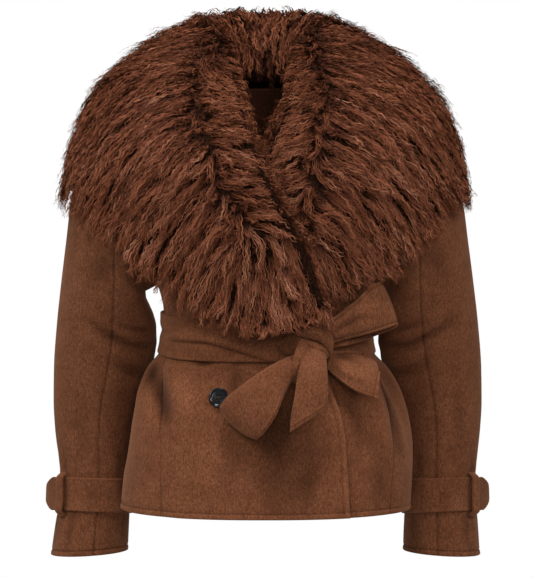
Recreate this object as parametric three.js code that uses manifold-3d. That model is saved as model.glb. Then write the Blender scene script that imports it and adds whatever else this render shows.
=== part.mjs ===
// A cropped double-faced wool coat with a wide curly fur collar, worn and belted, with nobody inside.
// Millimetres, +Z up, the front faces -Y. The origin is the middle of the neck base, where a wearer's
// shoulders hold the coat. Right and left are the wearer's, so the right side has negative X.
import * as THREE from 'three';
import { mergeVertices } from 'three/addons/utils/BufferGeometryUtils.js';
import Module from 'manifold-3d';

const wasm = await Module();
wasm.setup();

// Driving sizes
const WALL = 3; // double-faced wool
const SEAM = 0.3; // space between pieces that are sewn together
const LAP = 4.4; // how far the right front stands out over the left front
const BODY_POWER = 2.4; // how square the body's rings are
const FUR_POWER = { front: 1.8, back: 2.3 }; // how square the collar's rings are
const SLEEVE_STEP = 20; // degrees between the corners of a sleeve ring
const BELT_WIDTH = 54;
const BELT_THICKNESS = 3.6;
const STRAP_WIDTH = 49;
const STRAP_THICKNESS = 3.2;
const BUTTON_RADIUS = 13.6;

// Rings of the body, from hem to neck. right, left, front and back are reaches from the ring's middle.
const BODY = [
  { h: -600, right: 199, left: 203, front: 134, back: 132, mid: -12, zSide: -592, zFront: -596, zBack: -594 },
  { h: -560, right: 196, left: 205, front: 130, back: 130, mid: -11, zSide: -558, zFront: -562, zBack: -560 },
  { h: -510, right: 190, left: 207, front: 126, back: 127, mid: -9, zSide: -510, zFront: -510, zBack: -510 },
  { h: -465, right: 184, left: 201, front: 121, back: 121, mid: -7, zSide: -465, zFront: -465, zBack: -465 },
  { h: -430, right: 178, left: 190, front: 115, back: 114, mid: -6, zSide: -430, zFront: -430, zBack: -430 },
  { h: -400, right: 166, left: 173, front: 108, back: 107, mid: -5, zSide: -400, zFront: -400, zBack: -400 },
  { h: -372, right: 149, left: 155, front: 101, back: 99, mid: -4, zSide: -372, zFront: -372, zBack: -372 },
  { h: -345, right: 139, left: 146, front: 98, back: 95, mid: -3, zSide: -345, zFront: -345, zBack: -345 },
  { h: -315, right: 140, left: 147, front: 99, back: 96, mid: -2, zSide: -315, zFront: -315, zBack: -315 },
  { h: -280, right: 149, left: 155, front: 106, back: 101, mid: 0, zSide: -280, zFront: -280, zBack: -280 },
  { h: -230, right: 163, left: 168, front: 116, back: 107, mid: 2, zSide: -230, zFront: -230, zBack: -230 },
  { h: -180, right: 172, left: 176, front: 117, back: 111, mid: 4, zSide: -180, zFront: -180, zBack: -180 },
  { h: -130, right: 180, left: 184, front: 110, back: 113, mid: 6, zSide: -130, zFront: -130, zBack: -130 },
  { h: -90, right: 186, left: 188, front: 96, back: 106, mid: 8, zSide: -82, zFront: -86, zBack: -84 },
  { h: -60, right: 190, left: 190, front: 80, back: 94, mid: 10, zSide: -50, zFront: -52, zBack: -48 },
  { h: -30, right: 140, left: 140, front: 66, back: 78, mid: 12, zSide: -26, zFront: -28, zBack: -20 },
  { h: 0, right: 76, left: 76, front: 52, back: 60, mid: 12, zSide: 0, zFront: -6, zBack: -2 },
];

// Soft folds of the skirt. They start under the belt at turn degrees from the front and end at turnLow.
const FOLDS = [
  { turn: -64, turnLow: -42, top: -386, bottom: -480, depth: 6, spread: 7 },
  { turn: 66, turnLow: 78, top: -386, bottom: -530, depth: 7, spread: 8 },
  { turn: -96, turnLow: -88, top: -384, bottom: -540, depth: 5, spread: 9 },
  { turn: 118, turnLow: 112, top: -384, bottom: -520, depth: 6, spread: 9 },
  { turn: 158, turnLow: 162, top: -382, bottom: -500, depth: 5, spread: 8 },
  { turn: -138, turnLow: -144, top: -382, bottom: -550, depth: 6, spread: 9 },
  { turn: -172, turnLow: -170, top: -382, bottom: -470, depth: 4, spread: 7 },
];

// Heights of the body's rows below the armhole, and between shoulder and neck
const SKIRT_ROWS = [-600, -575, -540, -505, -470, -440, -415, -395, -376, -360, -345, -328, -305, -282];
const NECK_ROWS = [-45, -30, -15, 0];
const ARMHOLE = { middle: -173, reach: 111, turn: 30 }; // an oval in turn and height about the side
const PRINCESS_STEPS = 7; // sleeve steps from the armhole's top to where the princess seam meets it

// Edges of the fronts: across is the distance from the middle towards the wearer's left
const RIGHT_EDGE = [
  { h: -600, across: 113 }, { h: -495, across: 107 }, { h: -460, across: 101 }, { h: -418, across: 87 },
  { h: -380, across: 80 }, { h: -310, across: 78 }, { h: -235, across: 58 }, { h: -190, across: 34 },
  { h: -135, across: 4 }, { h: -101, across: -14 }, { h: -60, across: -34 }, { h: -30, across: -48 },
  { h: 0, across: -58 },
];
const LEFT_EDGE = [
  { h: -600, across: -92 }, { h: -418, across: -84 }, { h: -345, across: -80 }, { h: -280, across: -74 },
  { h: -235, across: -58 }, { h: -190, across: -40 }, { h: -135, across: -16 }, { h: -101, across: 8 },
  { h: -60, across: 34 }, { h: -30, across: 48 }, { h: 0, across: 58 },
];

// Turn of the princess seams from the front in degrees
const RIGHT_PRINCESS = [
  { h: -600, turn: 40 }, { h: -500, turn: 44 }, { h: -420, turn: 53 }, { h: -345, turn: 66 },
  { h: -290, turn: 67 }, { h: -258, turn: 70.7 }, { h: 0, turn: 70.7 },
];
const LEFT_PRINCESS = [
  { h: -600, turn: 54 }, { h: -500, turn: 56 }, { h: -420, turn: 60 }, { h: -345, turn: 66 },
  { h: -290, turn: 67 }, { h: -258, turn: 70.7 }, { h: 0, turn: 70.7 },
];
const BACK_SEAM = [
  { h: -600, turn: 116 }, { h: -420, turn: 114 }, { h: -345, turn: 112 }, { h: -258, turn: 109.3 },
  { h: 0, turn: 109.3 },
];

// Rings of a sleeve below the armhole: where the ring reaches outward and inward, its middle and half depth
const SLEEVE = [
  { outX: 230, outZ: -72, inX: 166, inZ: -292, middle: 5, depth: 68 },
  { outX: 254, outZ: -112, inX: 165, inZ: -302, middle: 8, depth: 71 },
  { outX: 270, outZ: -164, inX: 160, inZ: -313, middle: 13, depth: 71 },
  { outX: 278, outZ: -222, inX: 155, inZ: -326, middle: 20, depth: 69 },
  { outX: 287, outZ: -290, inX: 152, inZ: -342, middle: 29, depth: 66 },
  { outX: 293, outZ: -340, inX: 152, inZ: -366, middle: 38, depth: 64 },
  { outX: 298, outZ: -400, inX: 162, inZ: -410, middle: 48, depth: 61 },
  { outX: 299, outZ: -450, inX: 177, inZ: -454, middle: 54, depth: 57 },
  { outX: 296, outZ: -500, inX: 186, inZ: -500, middle: 57, depth: 53 },
  { outX: 291, outZ: -545, inX: 189, inZ: -540, middle: 58, depth: 50 },
  { outX: 290, outZ: -580, inX: 190, inZ: -575, middle: 58, depth: 49 },
  { outX: 296, outZ: -620, inX: 192, inZ: -615, middle: 58, depth: 52 },
  { outX: 303, outZ: -666, inX: 194, inZ: -660, middle: 58, depth: 54 },
];
const LEFT_SLEEVE_SHIFT = [
  { row: 0, shift: 4 }, { row: 3, shift: 8 }, { row: 8, shift: 10 }, { row: 11, shift: 10 },
  { row: 13, shift: 4 },
];
const FRONT_SEAM_TURN = 260; // of the sleeve's front seam: 0 faces out, 90 back, 180 in and 270 forward
const BACK_SEAM_TURN = 100;
const SLEEVE_ROWS = [0, 0.35, 0.7, 1, 2, 3, 4, 5, 6, 7, 8, 9, 9.5, 10, 10.5, 11, 12, 13];
const STRAP_MIDDLE = 10.95; // sleeve row under the middle of the cuff strap
const STRAP_TILT = 0.12; // rows by which the strap dips at the back
const STRAP_SLOPE = 0.16; // rows by which the strap falls towards the body
const ROW_HEIGHT = 38; // of the sleeve's rows near the cuff

// Rings of the fur's outer hull
const HULL = [
  { z: 112, half: 58, front: -36, back: 80 },
  { z: 100, half: 86, front: -8, back: 94 },
  { z: 84, half: 113, front: 12, back: 109 },
  { z: 62, half: 156, front: 38, back: 126 },
  { z: 30, half: 200, front: 70, back: 140 },
  { z: -14, half: 242, front: 104, back: 152 },
  { z: -65, half: 264, front: 132, back: 158 },
  { z: -115, half: 277, front: 146, back: 158 },
  { z: -165, half: 283, front: 151, back: 154 },
  { z: -210, half: 283, front: 151, back: 150 },
  { z: -260, half: 283, front: 145, back: 150 },
  { z: -310, half: 283, front: 138, back: 150 },
  { z: -370, half: 283, front: 136, back: 150 },
];

// Sections across the collar, from the side of the neck down each front. Turns are from the front, positive
// to the section's own side; seam is where it is sewn on, tuck how far it bows in towards the neck.
const RIGHT_LAPEL = [
  { topTurn: 97, topZ: 96, lowTurn: 97, lowZ: -166, seamX: 64, seamY: 14, seamZ: 4, tuck: 22 },
  { topTurn: 58, topZ: 90, lowTurn: 82, lowZ: -164, seamX: 63, seamY: -10, seamZ: 3, tuck: 18 },
  { topTurn: 31, topZ: 72, lowTurn: 69, lowZ: -174, seamX: 60, seamY: -34, seamZ: 0, tuck: 13 },
  { topTurn: 15, topZ: 42, lowTurn: 59, lowZ: -200, seamX: 56, seamY: -54, seamZ: -8, tuck: 8 },
  { topTurn: 9, topZ: -5, lowTurn: 48, lowZ: -229, seamX: 46, seamY: -84, seamZ: -34, tuck: 4 },
  { topTurn: 5.4, topZ: -50, lowTurn: 38, lowZ: -270, seamX: 34, seamY: -112, seamZ: -66, tuck: 2 },
  { topTurn: 1.3, topZ: -101, lowTurn: 30, lowZ: -291, seamX: 18, seamY: -142, seamZ: -110, tuck: 1 },
  { topTurn: -2.6, topZ: -135, lowTurn: 21, lowZ: -321, seamX: 2, seamY: -156, seamZ: -140, tuck: 0 },
  { topTurn: -8.8, topZ: -190, lowTurn: 13, lowZ: -334, seamX: -26, seamY: -160, seamZ: -192, tuck: 0 },
  { topTurn: -13.7, topZ: -236, lowTurn: 5, lowZ: -349, seamX: -48, seamY: -156, seamZ: -238, tuck: 0 },
  { topTurn: -16.6, topZ: -280, lowTurn: -5, lowZ: -353, seamX: -62, seamY: -148, seamZ: -281, tuck: 0 },
  { topTurn: -18.6, topZ: -310, lowTurn: -14, lowZ: -338, seamX: -72, seamY: -142, seamZ: -311, tuck: 0 },
];
const LEFT_LAPEL = [
  { topTurn: 97, topZ: 96, lowTurn: 97, lowZ: -166, seamX: 64, seamY: 14, seamZ: 4, tuck: 22 },
  { topTurn: 58, topZ: 91, lowTurn: 82, lowZ: -165, seamX: 63, seamY: -10, seamZ: 3, tuck: 18 },
  { topTurn: 31, topZ: 76, lowTurn: 69, lowZ: -176, seamX: 60, seamY: -34, seamZ: 0, tuck: 13 },
  { topTurn: 14, topZ: 44, lowTurn: 61, lowZ: -200, seamX: 56, seamY: -54, seamZ: -8, tuck: 8 },
  { topTurn: 10, topZ: 5, lowTurn: 51, lowZ: -221, seamX: 48, seamY: -80, seamZ: -30, tuck: 4 },
  { topTurn: 7, topZ: -35, lowTurn: 43, lowZ: -256, seamX: 38, seamY: -100, seamZ: -54, tuck: 2 },
  { topTurn: 2, topZ: -75, lowTurn: 36, lowZ: -273, seamX: 20, seamY: -122, seamZ: -88, tuck: 1 },
  { topTurn: -1, topZ: -112, lowTurn: 29.5, lowZ: -282, seamX: 4, seamY: -132, seamZ: -118, tuck: 0 },
  { topTurn: -5, topZ: -150, lowTurn: 25, lowZ: -300, seamX: -12, seamY: -134, seamZ: -152, tuck: 0 },
  { topTurn: 0, topZ: -210, lowTurn: 21, lowZ: -314, seamX: 8, seamY: -134, seamZ: -212, tuck: 0 },
  { topTurn: 7, topZ: -265, lowTurn: 17.5, lowZ: -320, seamX: 34, seamY: -128, seamZ: -266, tuck: 0 },
];
const BACK_COLLAR = { topTurn: 97, topZ: 96, midTopZ: 111, lowZ: -166, midLowZ: -176 };
const NECK_SEAM = { side: 64, sideY: 14, back: 58, sideZ: 4, backZ: 2, tuck: 22 };
const NECK_SHARE = 0.24; // share of a section that faces the neck
const OVERLAP_LIFT = 21; // how far the right lapel lies over the left one
const LEFT_FUR_REACH = 3; // the collar spreads this much further on the wearer's left
const PILE = { edge: 7, neck: 15, middle: 20, arm: 12, armEdge: 5 }; // thickness of fur and hide

// Bands of the bow. a and b are the two edges, seen from the front, and lift stands out from the body.
const UPPER_LOOP = [
  { ax: 70, az: -340, bx: 84, bz: -366, lift: 24, crown: 3 },
  { ax: 96, az: -325, bx: 108, bz: -358, lift: 38, crown: 5 },
  { ax: 124, az: -306, bx: 138, bz: -352, lift: 54, crown: 6 },
  { ax: 148, az: -288, bx: 166, bz: -346, lift: 74, crown: 4 },
  { ax: 159, az: -285, bx: 178, bz: -343, lift: 82, crown: 1 },
  { ax: 156, az: -287, bx: 176, bz: -347, lift: 70, crown: -3 },
  { ax: 136, az: -296, bx: 150, bz: -354, lift: 44, crown: -5 },
  { ax: 108, az: -314, bx: 120, bz: -364, lift: 24, crown: -4 },
  { ax: 82, az: -334, bx: 88, bz: -370, lift: 13, crown: -1 },
];
const LOWER_LOOP = [
  { ax: 46, az: -374, bx: 40, bz: -402, lift: 24, crown: 3 },
  { ax: 12, az: -390, bx: 26, bz: -428, lift: 34, crown: 6 },
  { ax: -22, az: -412, bx: 14, bz: -458, lift: 36, crown: 7 },
  { ax: -50, az: -434, bx: -4, bz: -484, lift: 30, crown: 5 },
  { ax: -60, az: -446, bx: -14, bz: -490, lift: 20, crown: 1 },
  { ax: -54, az: -444, bx: -8, bz: -486, lift: 12, crown: -2 },
  { ax: -26, az: -422, bx: 10, bz: -462, lift: 9, crown: -2 },
  { ax: 8, az: -398, bx: 24, bz: -430, lift: 10, crown: -1 },
  { ax: 40, az: -380, bx: 36, bz: -402, lift: 14, crown: 0 },
];
const CENTRE_TAIL = [
  { ax: 55, az: -366, bx: 79, bz: -368, lift: 30, crown: 3 },
  { ax: 51, az: -384, bx: 82, bz: -385, lift: 40, crown: 6 },
  { ax: 45, az: -404, bx: 83, bz: -404, lift: 44, crown: 5 },
  { ax: 41, az: -430, bx: 84, bz: -426, lift: 44, crown: 4 },
  { ax: 36, az: -456, bx: 82, bz: -438, lift: 42, crown: 3 },
  { ax: 34, az: -478, bx: 79, bz: -448, lift: 40, crown: 2 },
];
const SIDE_TAIL = [
  { ax: 88, az: -372, bx: 84, bz: -396, lift: 17, crown: 2 },
  { ax: 112, az: -372, bx: 102, bz: -412, lift: 22, crown: 4 },
  { ax: 134, az: -374, bx: 122, bz: -425, lift: 32, crown: 5 },
  { ax: 148, az: -380, bx: 140, bz: -432, lift: 44, crown: 3 },
  { ax: 156, az: -402, bx: 152, bz: -436, lift: 52, crown: 1 },
];
const KNOT = { x: 67, z: -364, halfWide: 27, halfHigh: 24, halfDeep: 17, lift: 25.5, lean: 18 };
const BUTTON = { x: -60, z: -435 };
const BUTTON_STAND = 0.5; // of the button over the cloth, on its thread
const BELT_MIDDLE = { front: -360, side: -347, back: -340 };
const BELT_EASE = 1.5; // between body and belt
const STRAP_EASE = 1.3; // between sleeve and strap
const STRAP_TURNS = { start: -26, end: 373 };
const STRAP_POINT = 24; // turn over which the free end narrows to its point
const STRAP_TIP_RISE = 14; // the free end stands away from the sleeve
const KEEPER = { turn: -40, halfTurn: 5 };

const rad = THREE.MathUtils.degToRad;
const smoothStep = (from, to, x) => THREE.MathUtils.smoothstep((x - from) / (to - from), 0, 1);

// A smooth curve through a table: key is the column that it runs along, column the one that it gives.
function through(rows, key, column) {
  const at = rows.map((row) => row[key]);
  const value = rows.map((row) => row[column]);
  const last = at.length - 1;
  const step = at.slice(1).map((x, i) => (value[i + 1] - value[i]) / (x - at[i]));
  const slope = at.map((x, i) => {
    if (i === 0) return step[0];
    if (i === last) return step[last - 1];
    return step[i - 1] * step[i] <= 0 ? 0 : (2 * step[i - 1] * step[i]) / (step[i - 1] + step[i]);
  });
  const rising = at[last] > at[0];
  return (x) => {
    let i = at.findIndex((edge, k) => k > 0 && (rising ? x <= edge : x >= edge)) - 1;
    if (i < 0) i = (rising ? x < at[0] : x > at[0]) ? 0 : last - 1;
    const wide = at[i + 1] - at[i];
    const t = THREE.MathUtils.clamp((x - at[i]) / wide, 0, 1);
    const low = value[i] * (1 + 2 * t) + slope[i] * wide * t;
    const high = value[i + 1] * (3 - 2 * t) - slope[i + 1] * wide * (1 - t);
    return low * (1 - t) ** 2 + high * t ** 2;
  };
}

// One such curve for each column of a table
function curves(rows, key, ...columns) {
  return Object.fromEntries(columns.map((column) => [column, through(rows, key, column)]));
}

const numbered = (rows) => rows.map((row, index) => ({ index, ...row }));
const body = curves(BODY, 'h', 'right', 'left', 'front', 'back', 'mid', 'zSide', 'zFront', 'zBack');
const hull = curves([...HULL].reverse(), 'z', 'half', 'front', 'back');
const signedPower = (x, power) => Math.sign(x) * Math.abs(x) ** power;

function foldDepth(turn, h) {
  let depth = 0;
  for (const fold of FOLDS) {
    const down = (fold.top - h) / (fold.top - fold.bottom);
    if (down <= 0 || down >= 1) continue;
    const middle = fold.turn + (fold.turnLow - fold.turn) * down;
    const away = (turn - middle) / fold.spread;
    const fade = Math.sin(Math.PI * down ** 0.6) ** 0.8;
    depth += fold.depth * fade * Math.exp(-away * away);
  }
  return depth;
}

// Outer surface of the body at a turn in degrees from the front, positive to the wearer's left
function bodyPoint(turn, h, out = 0) {
  const wrapped = turn > 180 ? turn - 360 : turn;
  const angle = rad(turn);
  const reachX = Math.sin(angle) < 0 ? body.right(h) : body.left(h);
  const reachY = Math.cos(angle) > 0 ? body.front(h) : body.back(h);
  const power = 2 / BODY_POWER;
  const facing = Math.cos(angle);
  const grow = out - foldDepth(wrapped, h);
  const x = signedPower(Math.sin(angle), power) * (reachX + grow);
  const y = body.mid(h) - signedPower(facing, power) * (reachY + grow);
  const toward = facing > 0 ? body.zFront(h) : body.zBack(h);
  const z = body.zSide(h) + (toward - body.zSide(h)) * facing * facing;
  return new THREE.Vector3(x, y, z);
}

// Turn at which the body's surface is so far across
function turnAt(across, h) {
  const reach = across < 0 ? body.right(h) : body.left(h);
  const share = Math.min(1, Math.abs(across) / reach) ** (BODY_POWER / 2);
  return Math.sign(across) * THREE.MathUtils.radToDeg(Math.asin(share));
}

// How far forward the coat's front surface lies, with the lap of the two fronts
function frontAt(x, z) {
  return bodyPoint(turnAt(x, z), z, LAP).y;
}

// Moves a surface's points along its normals: surface(u, v) gives a point
function offsetSurface(surface, du, dv, handed) {
  return (u, v, by) => {
    const alongU = surface(u + du, v).sub(surface(u - du, v));
    const alongV = surface(u, v + dv).sub(surface(u, v - dv));
    const normal = alongU.cross(alongV).normalize().multiplyScalar(handed);
    return surface(u, v).addScaledVector(normal, by);
  };
}

// A closed wall from two like grids of points, rows[v][u]
function wallGeometry(outer, inner, closed = false) {
  const wide = outer[0].length;
  const high = outer.length;
  const positions = [];
  for (const grid of [outer, inner]) {
    for (const row of grid) for (const p of row) positions.push(p.x, p.y, p.z);
  }
  const at = (side, v, u) => side * wide * high + v * wide + (u % wide);
  const index = [];
  const quad = (a, b, c, d) => index.push(a, b, c, a, c, d);
  const spans = closed ? wide : wide - 1;
  for (let v = 0; v < high - 1; v++) {
    for (let u = 0; u < spans; u++) {
      quad(at(0, v, u), at(0, v, u + 1), at(0, v + 1, u + 1), at(0, v + 1, u));
      quad(at(1, v, u), at(1, v + 1, u), at(1, v + 1, u + 1), at(1, v, u + 1));
    }
  }
  for (let u = 0; u < spans; u++) {
    quad(at(0, 0, u), at(1, 0, u), at(1, 0, u + 1), at(0, 0, u + 1));
    quad(at(0, high - 1, u), at(0, high - 1, u + 1), at(1, high - 1, u + 1), at(1, high - 1, u));
  }
  if (!closed) {
    for (let v = 0; v < high - 1; v++) {
      quad(at(0, v, 0), at(0, v + 1, 0), at(1, v + 1, 0), at(1, v, 0));
      quad(at(0, v, wide - 1), at(1, v, wide - 1), at(1, v + 1, wide - 1), at(0, v + 1, wide - 1));
    }
  }
  const geometry = new THREE.BufferGeometry();
  geometry.setAttribute('position', new THREE.Float32BufferAttribute(positions, 3));
  geometry.setIndex(index);
  return facingOut(geometry);
}

function facingOut(geometry) {
  const p = geometry.attributes.position;
  const index = geometry.index.array;
  const corner = [new THREE.Vector3(), new THREE.Vector3(), new THREE.Vector3()];
  let volume = 0;
  for (let i = 0; i < index.length; i += 3) {
    corner.forEach((c, k) => c.fromBufferAttribute(p, index[i + k]));
    volume += corner[0].dot(corner[1].cross(corner[2]));
  }
  if (volume < 0) {
    for (let i = 0; i < index.length; i += 3) {
      [index[i + 1], index[i + 2]] = [index[i + 2], index[i + 1]];
    }
  }
  return geometry;
}

const grid = (vs, us, point) => vs.map((v) => us.map((u) => point(u, v)));
const spread = (from, to, count) => {
  return Array.from({ length: count + 1 }, (_, i) => from + ((to - from) * i) / count);
};

// The same faces with shared corners and nothing but positions
function mergedGeometry(geometry) {
  const bare = new THREE.BufferGeometry();
  bare.setAttribute('position', geometry.attributes.position);
  if (geometry.index) bare.setIndex(geometry.index);
  return mergeVertices(bare, 1e-4);
}

function toManifold(geometry) {
  const merged = mergedGeometry(geometry);
  const vertProperties = new Float32Array(merged.attributes.position.array);
  const triVerts = new Uint32Array(merged.index.array);
  return new wasm.Manifold(new wasm.Mesh({ numProp: 3, vertProperties, triVerts }));
}

function fromManifold(solid) {
  const mesh = solid.getMesh();
  const geometry = new THREE.BufferGeometry();
  geometry.setAttribute('position', new THREE.BufferAttribute(mesh.vertProperties, 3));
  geometry.setIndex(new THREE.BufferAttribute(mesh.triVerts, 1));
  return geometry;
}

const materials = {
  wool: { color: 0x6f4631, roughness: 0.9, metalness: 0 },
  fur: { color: 0x5f3c2c, roughness: 0.85, metalness: 0 },
  button: { color: 0x0c0b0c, roughness: 0.25, metalness: 0 },
};
const coat = new THREE.Group();

function addPiece(name, geometry, material) {
  const mesh = new THREE.Mesh(geometry, new THREE.MeshStandardMaterial(materials[material]));
  mesh.name = name;
  coat.add(mesh);
}

// Body panels
const gapTurn = THREE.MathUtils.radToDeg(SEAM / 2 / 150);
const armholeTurns = spread(0, 180, 180 / SLEEVE_STEP);
const armholeRows = armholeTurns.map((t) => ARMHOLE.middle + ARMHOLE.reach * Math.cos(rad(t)));
const princessTop = armholeRows[PRINCESS_STEPS];
const upperRows = armholeRows.slice(0, PRINCESS_STEPS + 1).reverse();
const panelRows = [...SKIRT_ROWS, ...upperRows, ...NECK_ROWS];

// Turn from the front at which the armhole's front side lies, or 90 beside the shoulder seam
function armholeTurn(h) {
  const share = (h - ARMHOLE.middle) / ARMHOLE.reach;
  return share >= 1 ? 90 : 90 - ARMHOLE.turn * Math.sqrt(1 - share * share);
}

function frontSideTurn(princess, h) {
  return h < princessTop + 1e-6 ? princess(h) : armholeTurn(h);
}

function backSideTurn(backSeam, h) {
  return h < princessTop + 1e-6 ? backSeam(h) : 180 - armholeTurn(h);
}

function panel(rows, columns, turnRange, lift = () => 0) {
  const surface = (share, h) => {
    const [from, to] = turnRange(h);
    const turn = from + (to - from) * share;
    return bodyPoint(turn, h, lift(turn, h));
  };
  const moved = offsetSurface(surface, 1e-3, 0.05, 1);
  const us = spread(0, 1, columns);
  const outer = grid(rows, us, (u, h) => surface(u, h));
  const inner = grid(rows, us, (u, h) => moved(u, h, -WALL));
  return wallGeometry(outer, inner);
}

const rightEdge = through(RIGHT_EDGE, 'h', 'across');
const leftEdge = through(LEFT_EDGE, 'h', 'across');
const princessOf = { right: through(RIGHT_PRINCESS, 'h', 'turn'), left: through(LEFT_PRINCESS, 'h', 'turn') };
const backSeam = through(BACK_SEAM, 'h', 'turn');

// The right front rises over the left one between its princess seam and the left front's hidden edge
function lapLift(turn, h) {
  const seam = -frontSideTurn(princessOf.right, h);
  const hidden = turnAt(leftEdge(h), h) - 3;
  return LAP * smoothStep(seam, Math.max(hidden, seam + 6), turn);
}

function addFronts() {
  const right = panel(
    panelRows,
    11,
    (h) => [-frontSideTurn(princessOf.right, h) + gapTurn, turnAt(rightEdge(h), h)],
    lapLift,
  );
  addPiece('front_right', right, 'wool');
  const left = panel(
    panelRows,
    11,
    (h) => [turnAt(leftEdge(h), h), frontSideTurn(princessOf.left, h) - gapTurn],
  );
  addPiece('front_left', left, 'wool');
}

function addBack() {
  const back = panel(
    panelRows,
    17,
    (h) => [backSideTurn(backSeam, h) + gapTurn, 360 - backSideTurn(backSeam, h) - gapTurn],
  );
  addPiece('back', back, 'wool');
}

// A side panel's top edge is the bottom of the armhole, so its upper rows dip in the middle.
function addSide(side) {
  const sign = side === 'right' ? -1 : 1;
  const princess = princessOf[side];
  const rows = [...SKIRT_ROWS, princessTop];
  const steps = 180 / SLEEVE_STEP - PRINCESS_STEPS;
  const seamShare = Math.sin(rad(steps * SLEEVE_STEP));
  const shares = spread(-steps, steps, 2 * steps).map((k) => Math.sin(rad(k * SLEEVE_STEP)) / seamShare);
  const surface = (share, h) => {
    const from = princess(h) + gapTurn;
    const to = backSeam(h) - gapTurn;
    const turn = from + ((to - from) * (share + 1)) / 2;
    const armholeShare = Math.min(1, Math.abs(share) * seamShare);
    const clear = 0.5 * (1 - Math.abs(share));
    const top = ARMHOLE.middle - ARMHOLE.reach * Math.sqrt(1 - armholeShare ** 2) - clear;
    const start = SKIRT_ROWS.at(-3);
    const drop = h > start ? ((h - start) / (princessTop - start)) * (princessTop - top) : 0;
    return bodyPoint(sign * turn, h - drop);
  };
  const moved = offsetSurface(surface, 1e-3, 0.05, sign);
  const outer = grid(rows, shares, (u, h) => surface(u, h));
  const inner = grid(rows, shares, (u, h) => moved(u, h, -WALL));
  addPiece(`side_${side}`, wallGeometry(outer, inner), 'wool');
}

// Sleeves. Row 0 is the armhole on the body, row 1 the table's first ring.
const sleeveTable = numbered(SLEEVE).map((ring) => ({ ...ring, row: ring.index + 1 }));
const sleeve = curves(sleeveTable, 'row', 'outX', 'outZ', 'inX', 'inZ', 'middle', 'depth');
const leftShift = through(LEFT_SLEEVE_SHIFT, 'row', 'shift');

function sleeveRing(side, t, row) {
  const sign = side === 'right' ? -1 : 1;
  const shift = side === 'left' ? leftShift(row) : 0;
  const c = Math.cos(rad(t));
  const s = Math.sin(rad(t));
  const at = Math.max(row, 1);
  const x = (sleeve.outX(at) + sleeve.inX(at)) / 2 + ((sleeve.outX(at) - sleeve.inX(at)) / 2) * c + shift;
  const z = (sleeve.outZ(at) + sleeve.inZ(at)) / 2 + ((sleeve.outZ(at) - sleeve.inZ(at)) / 2) * c;
  return new THREE.Vector3(sign * x, sleeve.middle(at) + sleeve.depth(at) * s, z);
}

// A point of the armhole's edge, moved in towards the hole's middle
function armholePoint(side, t, inward) {
  const sign = side === 'right' ? -1 : 1;
  const share = 1 - inward / 68;
  const turn = 90 + ARMHOLE.turn * share * Math.sin(rad(t));
  return bodyPoint(sign * turn, ARMHOLE.middle + ARMHOLE.reach * share * Math.cos(rad(t)));
}

function sleevePoint(side, t, row, inward = 0) {
  const ring = sleeveRing(side, t, row);
  if (row >= 1) return ring;
  const blend = row * row * (3 - 2 * row);
  return armholePoint(side, t, inward).lerp(ring, (row + blend) / 2);
}

function sleeveWall(side, from, to) {
  const handed = side === 'right' ? 1 : -1;
  const surface = (t, row) => sleevePoint(side, t, row, 0.6);
  const moved = offsetSurface(surface, 0.5, 0.02, handed);
  const us = spread(from, to, (to - from) / SLEEVE_STEP);
  us[0] += gapTurn * 2.4;
  us[us.length - 1] -= gapTurn * 2.4;
  const outer = grid(SLEEVE_ROWS, us, surface);
  const lastRow = SLEEVE_ROWS.at(-1) - 0.03;
  const inner = grid(SLEEVE_ROWS, us, (t, row) => {
    const within = moved(t, THREE.MathUtils.clamp(row, 0.02, lastRow), -WALL);
    return row < 0.5 ? sleevePoint(side, t, row, 0.6 + WALL).lerp(within, row * 2) : within;
  });
  return wallGeometry(outer, inner);
}

function addSleeve(side) {
  addPiece(`sleeve_upper_${side}`, sleeveWall(side, FRONT_SEAM_TURN, BACK_SEAM_TURN + 360), 'wool');
  addPiece(`sleeve_under_${side}`, sleeveWall(side, BACK_SEAM_TURN, FRONT_SEAM_TURN), 'wool');
}

// Fur collar. A section runs from the neck seam over the roll to the lower edge.
const lapelColumns = ['topTurn', 'topZ', 'lowTurn', 'lowZ', 'seamX', 'seamY', 'seamZ', 'tuck'];
const lapel = {
  right: curves(numbered(RIGHT_LAPEL), 'index', ...lapelColumns),
  left: curves(numbered(LEFT_LAPEL), 'index', ...lapelColumns),
};

function hullPoint(turn, z, out = 0) {
  const angle = rad(turn);
  const facing = Math.cos(angle);
  const power = 2 / (facing > 0 ? FUR_POWER.front : FUR_POWER.back);
  const reach = facing > 0 ? hull.front(z) : hull.back(z);
  const half = hull.half(z) + out;
  return new THREE.Vector3(
    signedPower(Math.sin(angle), power) * half,
    -signedPower(facing, power) * (reach + out),
    z,
  );
}

const leftReach = (z) => 1 + (LEFT_FUR_REACH / 283) * smoothStep(80, -60, z);

// Where the right lapel crosses over the left one, it is lifted clear of it.
function overlapLift(turn, z) {
  return OVERLAP_LIFT * smoothStep(32, 14, turn) * smoothStep(-30, -110, z);
}

// share 0 is the neck seam, NECK_SHARE the top of the roll and 1 the lower edge
function acrossCollar(share, seam, tuckTo, section) {
  if (share >= NECK_SHARE) return section((share - NECK_SHARE) / (1 - NECK_SHARE));
  const down = 1 - share / NECK_SHARE;
  const top = section(0);
  return top.lerp(seam, down).addScaledVector(tuckTo, Math.sin(Math.PI * down) ** 0.8);
}

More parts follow.
